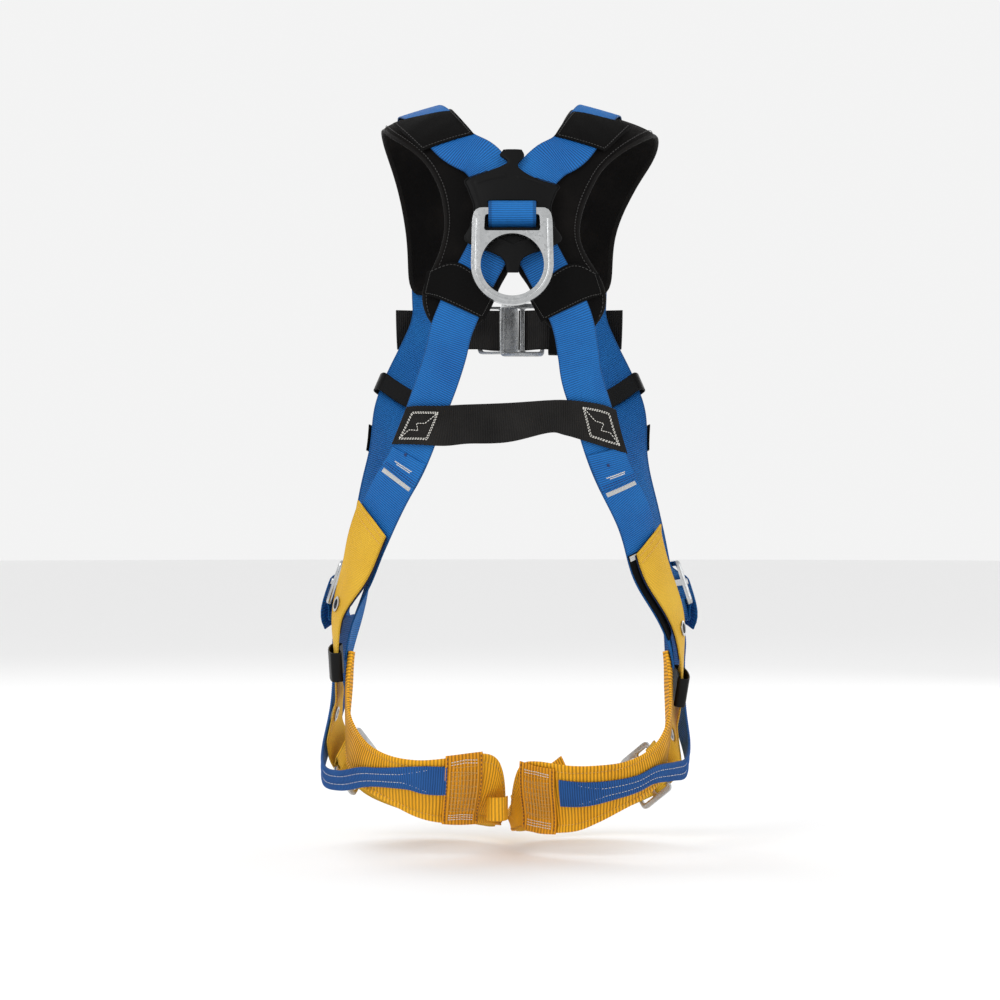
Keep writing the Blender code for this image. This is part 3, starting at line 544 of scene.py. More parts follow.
def stitches(name, top, lines, paint, pitch=0.0034, share=0.72, radius=0.0004, half=WEB / 2):
    """Sewing: short rounded lengths of thread along lines of (distance, across) points."""
    first, last = [], []
    for line in lines:
        line = np.array(line, float)
        arc = run_of(line * [1, half])
        count = max(1, int(round(arc[-1] / pitch)))
        at = np.arange(count) * arc[-1] / count
        for marks, found in ((at, first), (at + arc[-1] / count * share, last)):
            found.append(lerp(marks, arc, line))
    first, last = np.vstack(first), np.vstack(last)
    rings = []
    shares = ((0.0, 0.35, 0.1), (0.2, 1.0, 0.7), (0.5, 1.05, 0.9), (0.8, 1.0, 0.7), (1.0, 0.35, 0.1))
    face, wearer = top
    ends = [face(e[:, 0], e[:, 1]) for e in (first, last)]
    along = unit(ends[1] - ends[0])
    out = unit(slope(ends[0], wearer))
    side = np.cross(along, out)
    for t, thick, rise in shares:
        centre = ends[0] * (1 - t) + ends[1] * t + out * radius * rise
        turn = np.linspace(0, 2 * math.pi, 6, endpoint=False)
        rings.append(centre[:, None] + radius * thick * (side[:, None] * np.cos(turn)[None, :, None]
                                                         + out[:, None] * np.sin(turn)[None, :, None]))
    points = np.stack(rings, 1)
    one, count = skin(5, 6, flat_ends=False), len(first)
    faces = [tuple(q + 30 * k for q in f) for k in range(count) for f in one]
    return add(name, points, faces, paint, angle=80)


def loft(name, points, out, profile, paint, body="harness", closed=False):
    """A cord or tape with a constant section (side, out) swept along points."""
    points = np.array(points, float)
    ahead, behind = np.roll(points, -1, 0), np.roll(points, 1, 0)
    if not closed:
        ahead[-1], behind[0] = points[-1], points[0]
    along = unit(ahead - behind)
    side = unit(np.cross(along, out))
    up = np.cross(side, along)
    profile = np.array(profile, float)
    rings = points[:, None] + side[:, None] * profile[None, :, :1] + up[:, None] * profile[None, :, 1:]
    uvs = np.stack(np.meshgrid(run_of(points), np.arange(len(profile)) * 0.0012, indexing="ij"), -1)
    return add(name, rings, skin(len(points), len(profile), closed, False), paint, None, uvs, body)


def evaluated(ob):
    """A mesh copy of an object as its modifiers leave it."""
    bpy.context.view_layer.update()
    return bpy.data.meshes.new_from_object(ob.evaluated_get(bpy.context.evaluated_depsgraph_get()))


def punch(ob, cutter):
    """Cuts a bmesh out of a piece."""
    mesh = bpy.data.meshes.new("cutter")
    cutter.to_mesh(mesh)
    cutter.free()
    tool = scene_object("cutter", mesh)
    change = ob.modifiers.new("cut", "BOOLEAN")
    change.operation, change.solver, change.object = "DIFFERENCE", "EXACT", tool
    done = evaluated(ob)
    ob.modifiers.clear()
    ob.data = done
    bpy.data.objects.remove(tool, do_unlink=True)


def eyelet_profile(half):
    """Rolled C-section of a grommet as (radius, height) in metres."""
    upper = [(6.1, half + 0.1), (8.3, half + 0.1), (8.4, half + 0.4), (7.6, half + 0.75),
             (6.0, half + 0.75), (5.6, half + 0.4)]
    return [(r * MM, z * MM) for r, z in upper + [(r, -z) for r, z in upper[::-1]]]


def oval(a, b, count=12):
    turn = np.linspace(0, 2 * math.pi, count, endpoint=False)
    return np.stack([a * np.cos(turn), b * np.sin(turn)], -1)


def bend(name, matrix, profile, width, thickness, paint, node=None, body="harness", closed=False, per=4):
    """A strip bent to a profile of (along, out) millimetre points, with its width across."""
    pts = np.array(profile, float) * MM
    if closed:
        pts = smooth(np.vstack([pts[-2:], pts, pts[:3]]), per)[2 * per:-2 * per]
        pts = pts[:-1]
        step = unit(np.roll(pts, -1, 0) - np.roll(pts, 1, 0))
    else:
        pts = smooth(pts, per)
        step = unit(np.gradient(pts, axis=0))
    side = np.stack([-step[:, 1], step[:, 0]], -1)
    v, w = section(5)
    line = pts[:, None] + side[:, None] * ((w - 0.5) * thickness)[None, :, None]
    local = np.stack([line[..., 0], np.broadcast_to(v * width / 2, line.shape[:2]), line[..., 1]], -1)
    turn = np.array(matrix.to_3x3())
    points = local @ turn.T + np.array(matrix.translation)
    uvs = np.stack(np.meshgrid(run_of(pts), v * width / 2, indexing="ij"), -1)
    return add(name, points, skin(*local.shape[:2], closed), paint, node, uvs, body)


def outline(points, radius=0.0, per=4):
    """Closed polyline in mm with rounded corners."""
    out = []
    n = len(points)
    for i in range(n):
        p, a, b = (Vector(points[j]) for j in (i, i - 1, (i + 1) % n))
        if radius <= 0:
            out.append(p)
            continue
        r = min(radius, (a - p).length / 2.01, (b - p).length / 2.01)
        s, e = p + (a - p).normalized() * r, p + (b - p).normalized() * r
        for k in range(per + 1):
            t = k / per
            out.append(s * (1 - t)**2 + p * 2 * t * (1 - t) + e * t * t)
    return [(p.x, p.y) for p in out]


def box_outline(length, width, radius, shift=0.0):
    a, b = length / 2, width / 2
    return outline([(shift - a, -b), (shift + a, -b), (shift + a, b), (shift - a, b)], radius)


def two_windows(width, radius, window):
    """Outline of a buckle frame and of the windows on both sides of its middle bar."""
    return [box_outline(50, width, radius), *(box_outline(18, window, 3, shift) for shift in (-11.5, 11.5))]


def plate(name, loops, thickness, matrix, paint, node=None, body="harness", round_edge=0.8, segments=3):
    """A flat forging: 2D loops in mm (the first is the outside), filled, extruded and rounded."""
    data = bpy.data.curves.new(name, "CURVE")
    data.dimensions = "2D"
    data.fill_mode = "BOTH"
    data.extrude = thickness / 2 * MM
    for loop in loops:
        spline = data.splines.new("POLY")
        spline.points.add(len(loop) - 1)
        for point, (x, y) in zip(spline.points, loop):
            point.co = (x * MM, y * MM, 0, 1)
        spline.use_cyclic_u = True
    guide = scene_object(name + "_guide", data)
    mesh = evaluated(guide)
    bpy.data.objects.remove(guide, do_unlink=True)
    bm = bmesh.new()
    bm.from_mesh(mesh)
    bpy.data.meshes.remove(mesh)
    bmesh.ops.remove_doubles(bm, verts=bm.verts, dist=2e-6)
    rim = [e for e in bm.edges if len(e.link_faces) == 2 and e.calc_face_angle(0) > 1.2]
    bmesh.ops.bevel(bm, geom=rim, offset=round_edge * MM, segments=segments, profile=0.5,
                    affect="EDGES", clamp_overlap=True)
    bmesh.ops.transform(bm, matrix=matrix, verts=bm.verts)
    verts = [v.co[:] for v in bm.verts]
    bm.verts.index_update()
    faces = [tuple(v.index for v in f.verts) for f in bm.faces]
    bm.free()
    return add(name, verts, faces, paint, node, body=body, angle=50)


SIDES = (("left", -1), ("right", 1))


def mirrored(rows, side):
    """Rows written for the left side, flipped for the right when side is +1."""
    return [(-side * r[0], *r[1:]) for r in rows]


# ---- shoulder pads
# both edges of each pad, from its front end over the shoulder to the lower back
PAD_OUT = {
    -1: [
        (-110, 92, -190), (-116, 86, -125), (-128, 62, -65), (-138, 12, -28), (-130, -50, -30),
        (-95, -90, -58), (-76, -106, -90), (-69, -115, -121), (-70, -120, -147), (-79, -121, -175),
        (-91, -118, -197), (-92, -118, -218), (-82, -120, -243)],
    1: [
        (112, 92, -190), (120, 86, -125), (140, 56, -75), (156, 6, -48), (139, -58, -38), (103, -90, -66),
        (87, -104, -92), (76, -113, -120), (73, -119, -146), (81, -119, -168), (97, -116, -192),
        (102, -114, -217), (89, -118, -245)],
}
PAD_IN = {
    -1: [
        (-60, 104, -192), (-62, 100, -125), (-64, 76, -62), (-64, 22, -5), (-60, -46, -3), (-38, -86, -34),
        (-14, -104, -62), (1.4, -120, -95), (1.4, -128, -140), (0.6, -131, -177), (-11, -132, -197),
        (-20, -131, -221), (-35, -129, -243)],
    1: [
        (60, 104, -192), (62, 100, -125), (66, 76, -62), (70, 22, -6), (64, -48, -3), (48, -88, -34),
        (18, -104, -62), (4.6, -120, -95), (4.6, -128, -140), (5.6, -131, -177), (21, -132, -199),
        (30, -131, -224), (43, -129, -245)],
}
PAD_T, PAD_RIM = 7.0 * MM, 3.4 * MM
PAD_SEAM = 6.6 * MM        # height of the sewn channel above the form
PUFF_LIMIT = 9.0 * MM      # no point of a pad moves further than this
STRAP_PRESS = (0.021, 0.031)                # from under the strap's edge to clear of it,
PAD_TOPS = (9.2 * MM, 11.0 * MM)            # the pad's top rises from the first to the second
CHANNEL = 0.84             # the seam beside the bound edge, as a share of the pad's half width


def pad_section():
    v = [-1, -0.92, -CHANNEL, *np.linspace(-0.72, 0.72, 13), CHANNEL, 0.92, 1]
    return closed_section(v, [0.5, *[1.0] * (len(v) - 2), 0.5])


def inflate(ob, pinned, pressure=4.0, frames=20):
    """Cloth with inner pressure between pinned seams; returns the simulated points."""
    group = ob.vertex_groups.new(name="seams")
    group.add([int(i) for i in pinned], 1.0, "REPLACE")
    change = ob.modifiers.new("puff", "CLOTH")
    cloth = change.settings
    cloth.quality = 5
    cloth.mass = 0.2
    cloth.tension_stiffness = cloth.compression_stiffness = 12
    cloth.use_pressure = True
    cloth.uniform_pressure_force = pressure
    cloth.vertex_group_mass = "seams"
    cloth.effector_weights.gravity = 0
    change.point_cache.frame_start, change.point_cache.frame_end = 1, frames
    for frame_number in range(1, frames + 1):
        bpy.context.scene.frame_set(frame_number)
    shaped = ob.evaluated_get(bpy.context.evaluated_depsgraph_get()).data
    points = np.empty(len(shaped.vertices) * 3)
    shaped.vertices.foreach_get("co", points)
    ob.modifiers.remove(change)
    bpy.context.scene.frame_set(1)
    return points.reshape(-1, 3)


def shoulder_pad(label, side, straps):
    """A pad's cover, blown up and pressed under the straps, with its bound edge and its seam."""
    sheet = Sheet(PAD_OUT[side], PAD_IN[side], 0.8, rim=PAD_RIM, round_by=0.013)
    marks = np.concatenate([[0.0, 0.0035], np.linspace(0.008, sheet.length - 0.008, 104),
                            [sheet.length - 0.0035, sheet.length]])
    v, w = pad_section()
    d, v = np.meshgrid(marks, v, indexing="ij")
    w = np.broadcast_to(w, d.shape)
    start = sheet.place(d, v, w, PAD_T)
    uvs = np.stack([d, v * sheet.half(d)], -1)
    pad = add("shoulder_pad_cover_" + label, start, skin(*d.shape), "pad", "shoulder_pad_" + label,
              uvs, angle=180)
    seams = (np.abs(np.abs(v) - CHANNEL) < 0.01) | (np.abs(v) > 0.99)
    seams |= (d < 0.0081) | (d > sheet.length - 0.0081)
    moved = inflate(pad, np.flatnonzero(seams.ravel()))
    flat = start.reshape(-1, 3)
    shift = moved - flat
    size = np.linalg.norm(shift, axis=1, keepdims=True)
    moved = flat + shift * np.minimum(1, PUFF_LIMIT / np.maximum(size, 1e-9))
    # the pad is pressed flat by the body and by the webbing that lies on it
    gap = np.min([np.linalg.norm(moved[:, None] - p.points[None, ::4], axis=2).min(1)
                  for p in straps], axis=0)
    ceiling = np.interp(gap, STRAP_PRESS, PAD_TOPS)
    height = form(moved, BODY)
    moved = settle(moved, np.clip(height, 0.5 * MM, ceiling), BODY)
    pad.data.vertices.foreach_set("co", moved.ravel())
    pad.data.update()
    pad.modifiers.new("smooth", "SUBSURF").render_levels = 1

    # tape bound over the edge, and the seam that holds it
    n = 90
    run = np.linspace(0.0, sheet.length, n)
    cross = np.linspace(-1, 1, 18)[1:-1]
    loop_d = np.concatenate([run, np.full(16, sheet.length), run[::-1], np.zeros(16)])
    loop_v = np.concatenate([np.full(n, -1.0), cross, np.full(n, 1.0), -cross])
    inset = 0.0026
    loop_v = loop_v * (1 - inset / sheet.half(loop_d))
    loop_d = np.clip(loop_d, inset, sheet.length - inset)
    edge = sheet.place(loop_d, loop_v, np.full(len(loop_d), 0.5), PAD_RIM)
    for _ in range(3):
        edge = (np.roll(edge, 1, 0) + edge * 2 + np.roll(edge, -1, 0)) / 4
    edge = settle(edge, 2.7 * MM, BODY)
    edge = edge[::-1] if side > 0 else edge
    loft("pad_binding_" + label, edge, unit(slope(edge, BODY)), oval(0.0033, 0.0022), "binding", closed=True)
    face, wearer = top_of(sheet, PAD_T)
    stitches("pad_seam_" + label, (lambda d, v: settle(face(d, v), PAD_SEAM, BODY), wearer),
             along_at(0.012, sheet.length - 0.012, -CHANNEL, CHANNEL), "black_thread", pitch=0.004)


ADJUST_AT = 0.046          # distance of the torso adjuster from the lower front end of the strap
ADJUST_LIFT = (ADJUST_AT, ((-46, 13.2), (-32, 15), (-20, 14.6), (4, 14.2), (20, 0)))
FRONT = [
    (-180, 46, -557, 25, 0), (-184, 42, -535, 31, 0), (-180, 44, -488, 30, 0), (-168, 50, -440, 22, 2),
    (-156, 56, -395, 15, 3), (-142, 64, -345, 9), (-122, 78, -300, 6), (-98, 91, -252, 2.5),
    (-86, 98, -222, 5.5), (-84, 99, -194, 9.8), (-88, 92, -120, 9.8), (-97, 62, -58, 9.8),
    (-100, 20, -12, 9.8), (-95, -30, -5, 9.8)]
BACK_A = [
    (-60, -95, -44, 9.8), (-31, -109, -64, 9.8), (-14, -118, -88, 9.8), (4, -127, -117, 9.8),
    (22, -131, -152, 9.8), (42, -131, -190, 9.8), (59, -126, -223, 9.8), (65, -120, -243, 10.1),
    (70, -112, -268, 4), (76, -106, -296, 0.6), (91, -90, -338, 0.6), (110, -72, -392, 3.0, -3),
    (131, -49, -440, 6.0, -7), (144, -40, -472, 7.0, -6), (156, -31, -507, 7.0, -4),
    (168, -19, -550, 5, -1), (177, -8, -592, 3.4)]
BACK_B = [
    (67, -97, -47, 9.8), (42, -110, -66, 10.4), (24, -119, -86, 12.4), (4, -127, -113, 12.4),
    (-14, -132, -145, 12.4), (-25, -133, -168, 12.2), (-41, -133, -198, 10.2), (-54, -128, -228, 9.8),
    (-60, -122, -245, 9.8), (-66, -114, -268, 4), (-76, -106, -296, 0.6), (-90, -90, -332, 0.6),
    (-109, -72, -380, 2.8, 3), (-122, -61, -404, 5.4, 7), (-142, -39, -445, 8.4, 9),
    (-170, -7, -495, 8, 3), (-178, 8, -545, 5, 0), (-179, 0, -592, 3.4)]
PATH_A = Path(FRONT + BACK_A, lifts=(ADJUST_LIFT,))
PATH_B = Path(mirrored(FRONT, 1) + BACK_B, lifts=(ADJUST_LIFT,))
for label, side in SIDES:
    shoulder_pad(label, side, (PATH_A, PATH_B))

# black sleeves sewn across the pads over the blue webbing
KEEPERS = {
    "upper_left": ([(-123, -46, -24), (-117, -58, -31), (-92, -93, -54)],
                   [(-60, -60, -10), (-53, -72, -18), (-37, -92, -38)], 12.2, 0.0),
    "upper_right": ([(128, -50, -28), (120, -62, -36), (100, -92, -54)],
                    [(66, -60, -10), (59, -72, -19), (46, -93, -40)], 12.2, 0.0),
    "lower_left": ([(-84, -118, -184), (-54, -133, -175), (-19, -138, -200), (-12, -138, -205)],
                   [(-88, -118, -207), (-72, -130, -213), (-35, -136, -230), (-26, -133, -235)], 13.8, 1.0),
    "lower_right": ([(90, -118, -186), (62, -131, -176), (23, -138, -202), (16, -134, -206)],
                    [(96, -116, -207), (78, -128, -214), (43, -135, -231), (32, -133, -237)], 12.2, 1.0),
}
for label, (edge_a, edge_b, height, across_pad) in KEEPERS.items():
    cover = Sheet(edge_a, edge_b, height, drop=0 if across_pad else 1.3 * MM,
                  end_drop=1.2 * MM * across_pad)
    ribbon("keeper_sleeve_" + label, cover, "sleeve", "pad_keeper_" + label, thickness=SLEEVE_T,
           columns=15, step=0.003,
           relief=lambda d, v: 0.25 * MM * np.sin(d * 210 + 2.1 * v) * np.sin(2.6 * v + d * 60))
    top = top_of(cover, SLEEVE_T)
    end = cover.length
    if across_pad:
        seams = across_at(0.86, 0.004, end - 0.004) + along_at(0.004, end - 0.004, -0.86, 0.86)
    else:
        seams = along_at(0.003, end - 0.003, -0.9, 0.9) + across_at(0.9, end - 0.003)
    stitches("keeper_seam_" + label, top, seams, "black_thread", half=0.03)

# ---- blue shoulder straps
ribbon("shoulder_webbing_left", PATH_A, "blue", "shoulder_strap_left", skew=(0, 0.004))
ribbon("shoulder_webbing_right", PATH_B, "blue", "shoulder_strap_right", skew=(0, -0.004))

# ---- dorsal plate and D-ring
RING_LEAN = math.radians(7.5)
BAR_OVER = 28.6            # height of the D-ring bar above the form


def hang(origin, out_y, out_z):
    """Local frame at a point of the back: X down, Y across, Z outward."""
    size = math.hypot(out_y, out_z)
    out_y, out_z = out_y / size, out_z / size
    return Matrix(((0, 1, 0, origin[0]), (-out_z, 0, out_y, origin[1]), (out_y, 0, out_z, origin[2]),
                   (0, 0, 0, 1)))


under_bar = settle(np.array([[2, -118, -129]]) * MM, 0.0, BODY)
bar_out = unit(slope(under_bar, BODY))[0]
RING_PIVOT = Vector(under_bar[0] + bar_out * BAR_OVER * MM)
LOOP_FRAME = hang(RING_PIVOT, bar_out[1], bar_out[2])
LOOP_HALF = 12.6           # the slots' distance from the ring bar, along the back
PLATE_H, PLATE_T = 18.6, 3.4                # height of the plate above the form, and its thickness
PLATE_LEFT = [
    (-7, -100, -64), (-10, -103, -69), (-3, -107, -76), (-22, -111, -84), (-44, -113, -92),
    (-42, -118, -102), (-36, -124, -121), (-40, -128, -138), (-46, -128, -152), (-36, -131, -160),
    (-9, -131, -172), (-3, -131, -187)]
PLATE_RIGHT = [
    (12, -100, -64), (14, -103, -70), (8, -108, -80), (25, -113, -91), (48, -115, -98), (46, -119, -105),
    (41, -124, -121), (45, -128, -138), (52, -128, -152), (42, -131, -160), (14, -131, -172),
    (8, -131, -187)]
yoke = Sheet(PLATE_LEFT, PLATE_RIGHT, PLATE_H, rim=2.2 * MM)


def yoke_relief(d, v):
    """Raised rim, two swept ridges above the slots and a shallow dish round the ring."""
    rim = 0.7 * np.exp(-((np.abs(v) - 0.9) / 0.05)**2)
    x = v * yoke.half(d)
    swept = 0.029 + 0.010 * (np.abs(x) / 0.04)**1.5
    ridge = 0.9 * np.exp(-((d - swept) / 0.0013)**2) * (np.abs(x) > 0.006) * (np.abs(x) < 0.036)
    low = 0.9 * np.exp(-((d - 0.102 + 0.5 * np.abs(x)) / 0.0013)**2) * (np.abs(x) < 0.03)
    return (rim + ridge + low) * MM


back_plate = ribbon("dorsal_plate_moulding", yoke, "plate", "dorsal_plate", thickness=PLATE_T * MM,
                    step=0.0009, columns=61, relief=yoke_relief)
for offset in (-LOOP_HALF, LOOP_HALF):
    bm = bmesh.new()
    bmesh.ops.create_cube(bm, size=1)
    bmesh.ops.scale(bm, vec=Vector((4.6, 52, 24)) * MM, verts=bm.verts)
    bmesh.ops.bevel(bm, geom=[e for e in bm.edges], offset=1.6 * MM, segments=3, affect="EDGES")
    bmesh.ops.transform(bm, matrix=LOOP_FRAME @ Matrix.Translation(Vector((offset, 0, -8)) * MM),
                        verts=bm.verts)
    punch(back_plate, bm)
for label, edge in (("left", PLATE_LEFT), ("right", PLATE_RIGHT)):
    line = smooth(np.array(edge[3:8]) * MM, 14)
    line = settle(line, (PLATE_H + 2.5) * MM, BODY)
    loft("plate_edge_wire_" + label, line, unit(slope(line, BODY)), oval(0.00042, 0.00042, 8), "keeper")

bend("dorsal_loop_webbing", LOOP_FRAME,
     [(-12.6, -12.3), (-12.8, -7), (-11.6, -2), (-8.4, 3.4), (-3.4, 6.0), (3.4, 6.0), (8.4, 3.4),
      (11.6, -2), (12.8, -7), (12.6, -12.3), (7, -12.5), (0, -12.6), (-7, -12.5)],
     49 * MM, 1.4 * MM, "blue", "dorsal_loop", closed=True)
RING_FRAME = hang(RING_PIVOT, -math.cos(RING_LEAN), math.sin(RING_LEAN))


def arc(cx, r, start_deg, end_deg, n):
    """Points in mm on an arc round (cx, 0)."""
    angles = [math.radians(start_deg + (end_deg - start_deg) * k / n) for k in range(n + 1)]
    return [(cx + r * math.cos(a), r * math.sin(a)) for a in angles]


ring_outside = [(-3.6, -30), (-3.4, -33.5), (-1.5, -37.3), (2, -39.6), (7, -40.8), (12, -41.3)] + arc(
    55.5, 42.3, -90, 90, 48) + [(12, 41.3), (7, 40.8), (2, 39.6), (-1.5, 37.3), (-3.4, 33.5), (-3.6, 30)]
ring_window = outline([(3.4, -28), (20.5, -29), (20.5, 29), (3.4, 28)], 3)
ring_eye = arc(56.0, 32.5, 0, 360, 72)[:-1]
plate("d_ring_forging", [ring_outside, ring_window, ring_eye], 7.2, RING_FRAME, "steel",
      "dorsal_d_ring", "d_ring", round_edge=2.3, segments=4)
lip = [RING_FRAME @ Vector((x * MM, y * MM, 3.5 * MM)) for x, y in
       [(8, -36.4)] + arc(55.7, 37.6, -90, 90, 60) + [(8, 36.4)]]
loft("d_ring_lip", lip, [RING_FRAME.to_3x3() @ Vector((0, 0, 1))] * len(lip), oval(0.0013, 0.0007, 10),
     "steel", "d_ring")

# ---- black back strap and indicators
back = Path([(-114, -75, -341, 6.8, 0, 39), (-95, -88, -341, 6.2, 0, 42), (-69, -98, -342, 5.6, 0, 43),
             (-45, -104, -341, 2.0, 0, 42), (-5, -109, -340, 0.8, 0, 42), (40, -106, -333, 2.0, 0, 35),
             (62, -102, -334, 5.0, 0, 38), (88, -91, -339, 5.6, 0, 42), (104, -79, -344, 6.2, 0, 41),
             (113, -70, -347, 6.2, 0, 39)])
BACK_SKEW = (-0.014, 0.018)                 # its slanted ends


def woven(rib, depth):
    """Relief of ribs across a strap."""
    return lambda d, v: depth * (np.abs(np.sin(math.pi * d / rib)) - 0.6)


ribbon("back_webbing", back, "black", "back_strap", skew=BACK_SKEW, step=0.0006,
       relief=woven(BLACK_RIB, 0.00045))
top = top_of(back, over=0.0003, skew=BACK_SKEW)
for label, at, lean, a, shear in (("left", 0.025, -1, 0.0160, -0.003),
                                  ("right", back.length - 0.028, 1, 0.0172, 0.004)):
    b = 0.70
    box = box_line(at, a, b)
    inner = [(x + (at - x) * 0.09, y * 0.92) for x, y in box]
    step_line = [(at - a * lean, -b), (at - a * 0.35 * lean, -0.12), (at + a * 0.25 * lean, -0.12),
                 (at - a * 0.1 * lean, 0.25), (at + a * 0.6 * lean, 0.2), (at + a * lean, b)]
    sewn = [[(x + shear * y, y) for x, y in line] for line in (box, inner, step_line)]
    stitches("back_box_stitch_" + label, top, sewn, "pale_thread", pitch=0.0030, radius=0.00042)

FLAP_SHORT = {"left": 0.004, "right": 0.006}       # the sewn flap ends a little above its CAD solid
FLAP_OVER = 2.4 * MM       # the flap lies this high on its strap
FLAP_SLANT = {"left": 0.0, "right": -0.008}
for label, under, ends in (("left", PATH_B, ((-108, -73, -377), (-121, -60, -394))),
                           ("right", PATH_A, ((105, -79, -374), (117, -66, -407)))):
    start, end = (under.nearest(p) - FLAP_SHORT[label] for p in ends)
    slant = (0, FLAP_SLANT[label])
    ribbon("impact_flap_webbing_" + label, under, "blue", "impact_flap_" + label, thickness=SLEEVE_T,
           span=(start, end), over=FLAP_OVER, step=0.0025, skew=slant)
    top = top_of(under, SLEEVE_T, FLAP_OVER, slant)
    stitches("flap_seam_" + label, top, across_at(0.9, end - 0.0025, end - 0.005), "blue_thread",
             pitch=0.003)
    tack = [(end - 0.0125 + 0.0011 * (k % 2), -0.5 + k * 0.055) for k in range(19)]
    stitches("flap_bar_tack_" + label, top, [tack, [(end - 0.010, -0.45), (end - 0.010, 0.35)]],
             "pale_thread", pitch=0.0013, share=0.95, radius=0.00055)
    dot = [(end - 0.0245 + 0.0016 * math.sin(k), 0.15 + 0.07 * math.cos(k * 1.7)) for k in range(14)]
    stitches("flap_dot_tack_" + label, top, [dot], "blue_thread", pitch=0.0016, share=0.9,
             radius=0.0005)
    ribbon("indicator_tape_" + label, under, "white", span=(end + 0.0030, end + 0.0078),
           across=(-0.82, 0.82), thickness=0.5 * MM, over=1.4 * MM, step=0.001, skew=slant)

# ---- seat and leg webbing
BAND_A = [
    (-166, -36, -582), (-170, -42, -615), (-170, -55, -640), (-160, -80, -661), (-146, -98, -676),
    (-125, -114, -686), (-96, -124, -690), (-68, -125, -688), (-34, -115, -683), (-14, -96, -690),
    (-7, -60, -725), (-9, -20, -747), (-12, 25, -745), (-30, 74, -728), (-60, 92, -706)]
BAND_B = [
    (-172, 22, -585), (-178, 22, -625), (-184, 4, -668), (-178, -24, -700), (-158, -62, -720),
    (-126, -89, -739), (-97, -93, -753), (-72, -88, -759), (-44, -76, -761), (-28, -58, -763),
    (-18, -38, -766), (-14, -10, -770), (-16, 30, -775), (-40, 78, -776), (-84, 90, -758)]
RIGHT_SHIFT = {7: (-3, 0, -9), 8: (-8, 0, -11), 9: (-4, 0, -9)}   # the right seat end sits lower


def right_of(rows):
    """The left seat rows turned into the right ones, a little off the mirror image."""
    moved = []
    for k, (x, y, z) in enumerate(rows):
        dx, dy, dz = RIGHT_SHIFT.get(k, (-4, 0, -6 if 2 < k < 12 else 0))
        moved.append((-x + dx, y + dy, z + dz))
    return moved


def band_relief(d, v):
    """Bold ribs between the two rolled hems."""
    ribs = 0.9 * MM * (np.abs(np.sin(math.pi * d / BAND_RIB))**0.7 - 0.6)
    hem = np.clip((np.abs(v) - 0.76) / 0.05, 0, 1)
    groove = 0.8 * MM * np.exp(-((np.abs(v) - 0.78) / 0.03)**2)
    return ribs * (1 - hem * 0.8) + 0.5 * MM * hem - groove


for label, side in SIDES:
    edges = (BAND_A, BAND_B) if side < 0 else (right_of(BAND_A), right_of(BAND_B))
    band = Sheet(*edges, 0.6, body=LEG[side])
    ribbon("seat_webbing_" + label, band, "band", "seat_band_" + label, thickness=2.0 * MM,
           step=0.00095, columns=21, relief=band_relief)
    top = top_of(band, 2.0 * MM, -0.0002)
    stitches("seat_hem_seam_" + label, top, along_at(0.03, band.length - 0.02, -0.79, 0.79),
             "gold_thread", pitch=0.0042, share=0.6, radius=0.0003, half=0.035)
    rows = {-1: ([(-67, -125, -684), (-45, -118, -681), (-30, -114, -680)],
                 [(-72, -89, -759), (-50, -78, -761), (-37, -66, -761)]),
            1: ([(46, -118, -699), (27, -110, -696), (10, -106, -692)],
                [(47, -84, -772), (28, -68, -772), (12, -52, -768)])}[side]
    patch = Sheet(*rows, 4.4, body=LEG[side])
    ribbon("seat_patch_cover_" + label, patch, "patch", "seat_patch_" + label, thickness=SLEEVE_T,
           columns=25, step=0.0012,
           relief=lambda d, v: 0.25 * MM * np.sin(2 * math.pi * d / 0.0042 + 0.6 * np.sin(9 * v)))
    top = top_of(patch, SLEEVE_T, 0.0002)
    end = patch.length
    stitches("seat_patch_dashes_" + label, top, across_at(0.94, 0.0022, end - 0.0022),
             "brown_thread", pitch=0.0042, share=0.62, radius=0.0005, half=0.04)
    rows = []
    for k in range(15):
        v = -0.80 + k * 0.114
        rows.append([(0.006 + 0.0013 * (k % 2), v), (end - 0.006, v + 0.05 * (k % 3 - 1))])
    for k in range(9):
        d = 0.007 + k * (end - 0.014) / 8
        rows.append([(d, -0.6), (d + 0.0012, 0.6)])
    stitches("seat_patch_sewing_" + label, top, rows, "gold_thread", pitch=0.0026,
             share=0.86, radius=0.0003, half=0.04)
    bright = [[(0.006, v), (end * 0.5, v - 0.035), (end - 0.006, v)]
              for v in (-0.82, -0.75, 0.70, 0.77, 0.84)]
    stitches("seat_patch_bright_rows_" + label, top, bright, "pale_thread", pitch=0.0028,
             share=0.8, radius=0.0004, half=0.04)

LEG_AT = 0.300             # distance of the tongue buckle from the free end of the leg strap
LEG_LIFT = (LEG_AT, ((-92, 0), (-48, 14.0), (-26, 15.4), (-18, 14.4), (3, 10.4), (20, 0)))
KEEPER_AT = 0.172          # distance of the leg keeper from the same end
LEG_ROWS = {
    -1: [
        (-148, -46, -440, 13.4, 9), (-169, -24, -490, 23, 10), (-181, -5, -540, 26, 8),
        (-181, -2, -592, 15, 3), (-184, 10, -645, 10), (-180, 36, -690, 7), (-158, 70, -722, 6),
        (-112, 92, -744, 4), (-62, 86, -754, 3.4), (-26, 52, -757, 3.4), (-19, 34, -755, 3.4)],
    1: [
        (149, -38, -462, 13.2, -6), (163, -30, -500, 19, -8), (176, -12, -548, 20, -8),
        (183, -3, -596, 14, -3), (184, 9, -645, 10), (180, 36, -690, 7), (156, 70, -724, 6),
        (108, 92, -747, 4), (56, 86, -759, 3.4), (20, 52, -762, 3.4), (13, 34, -760, 3.4)],
}
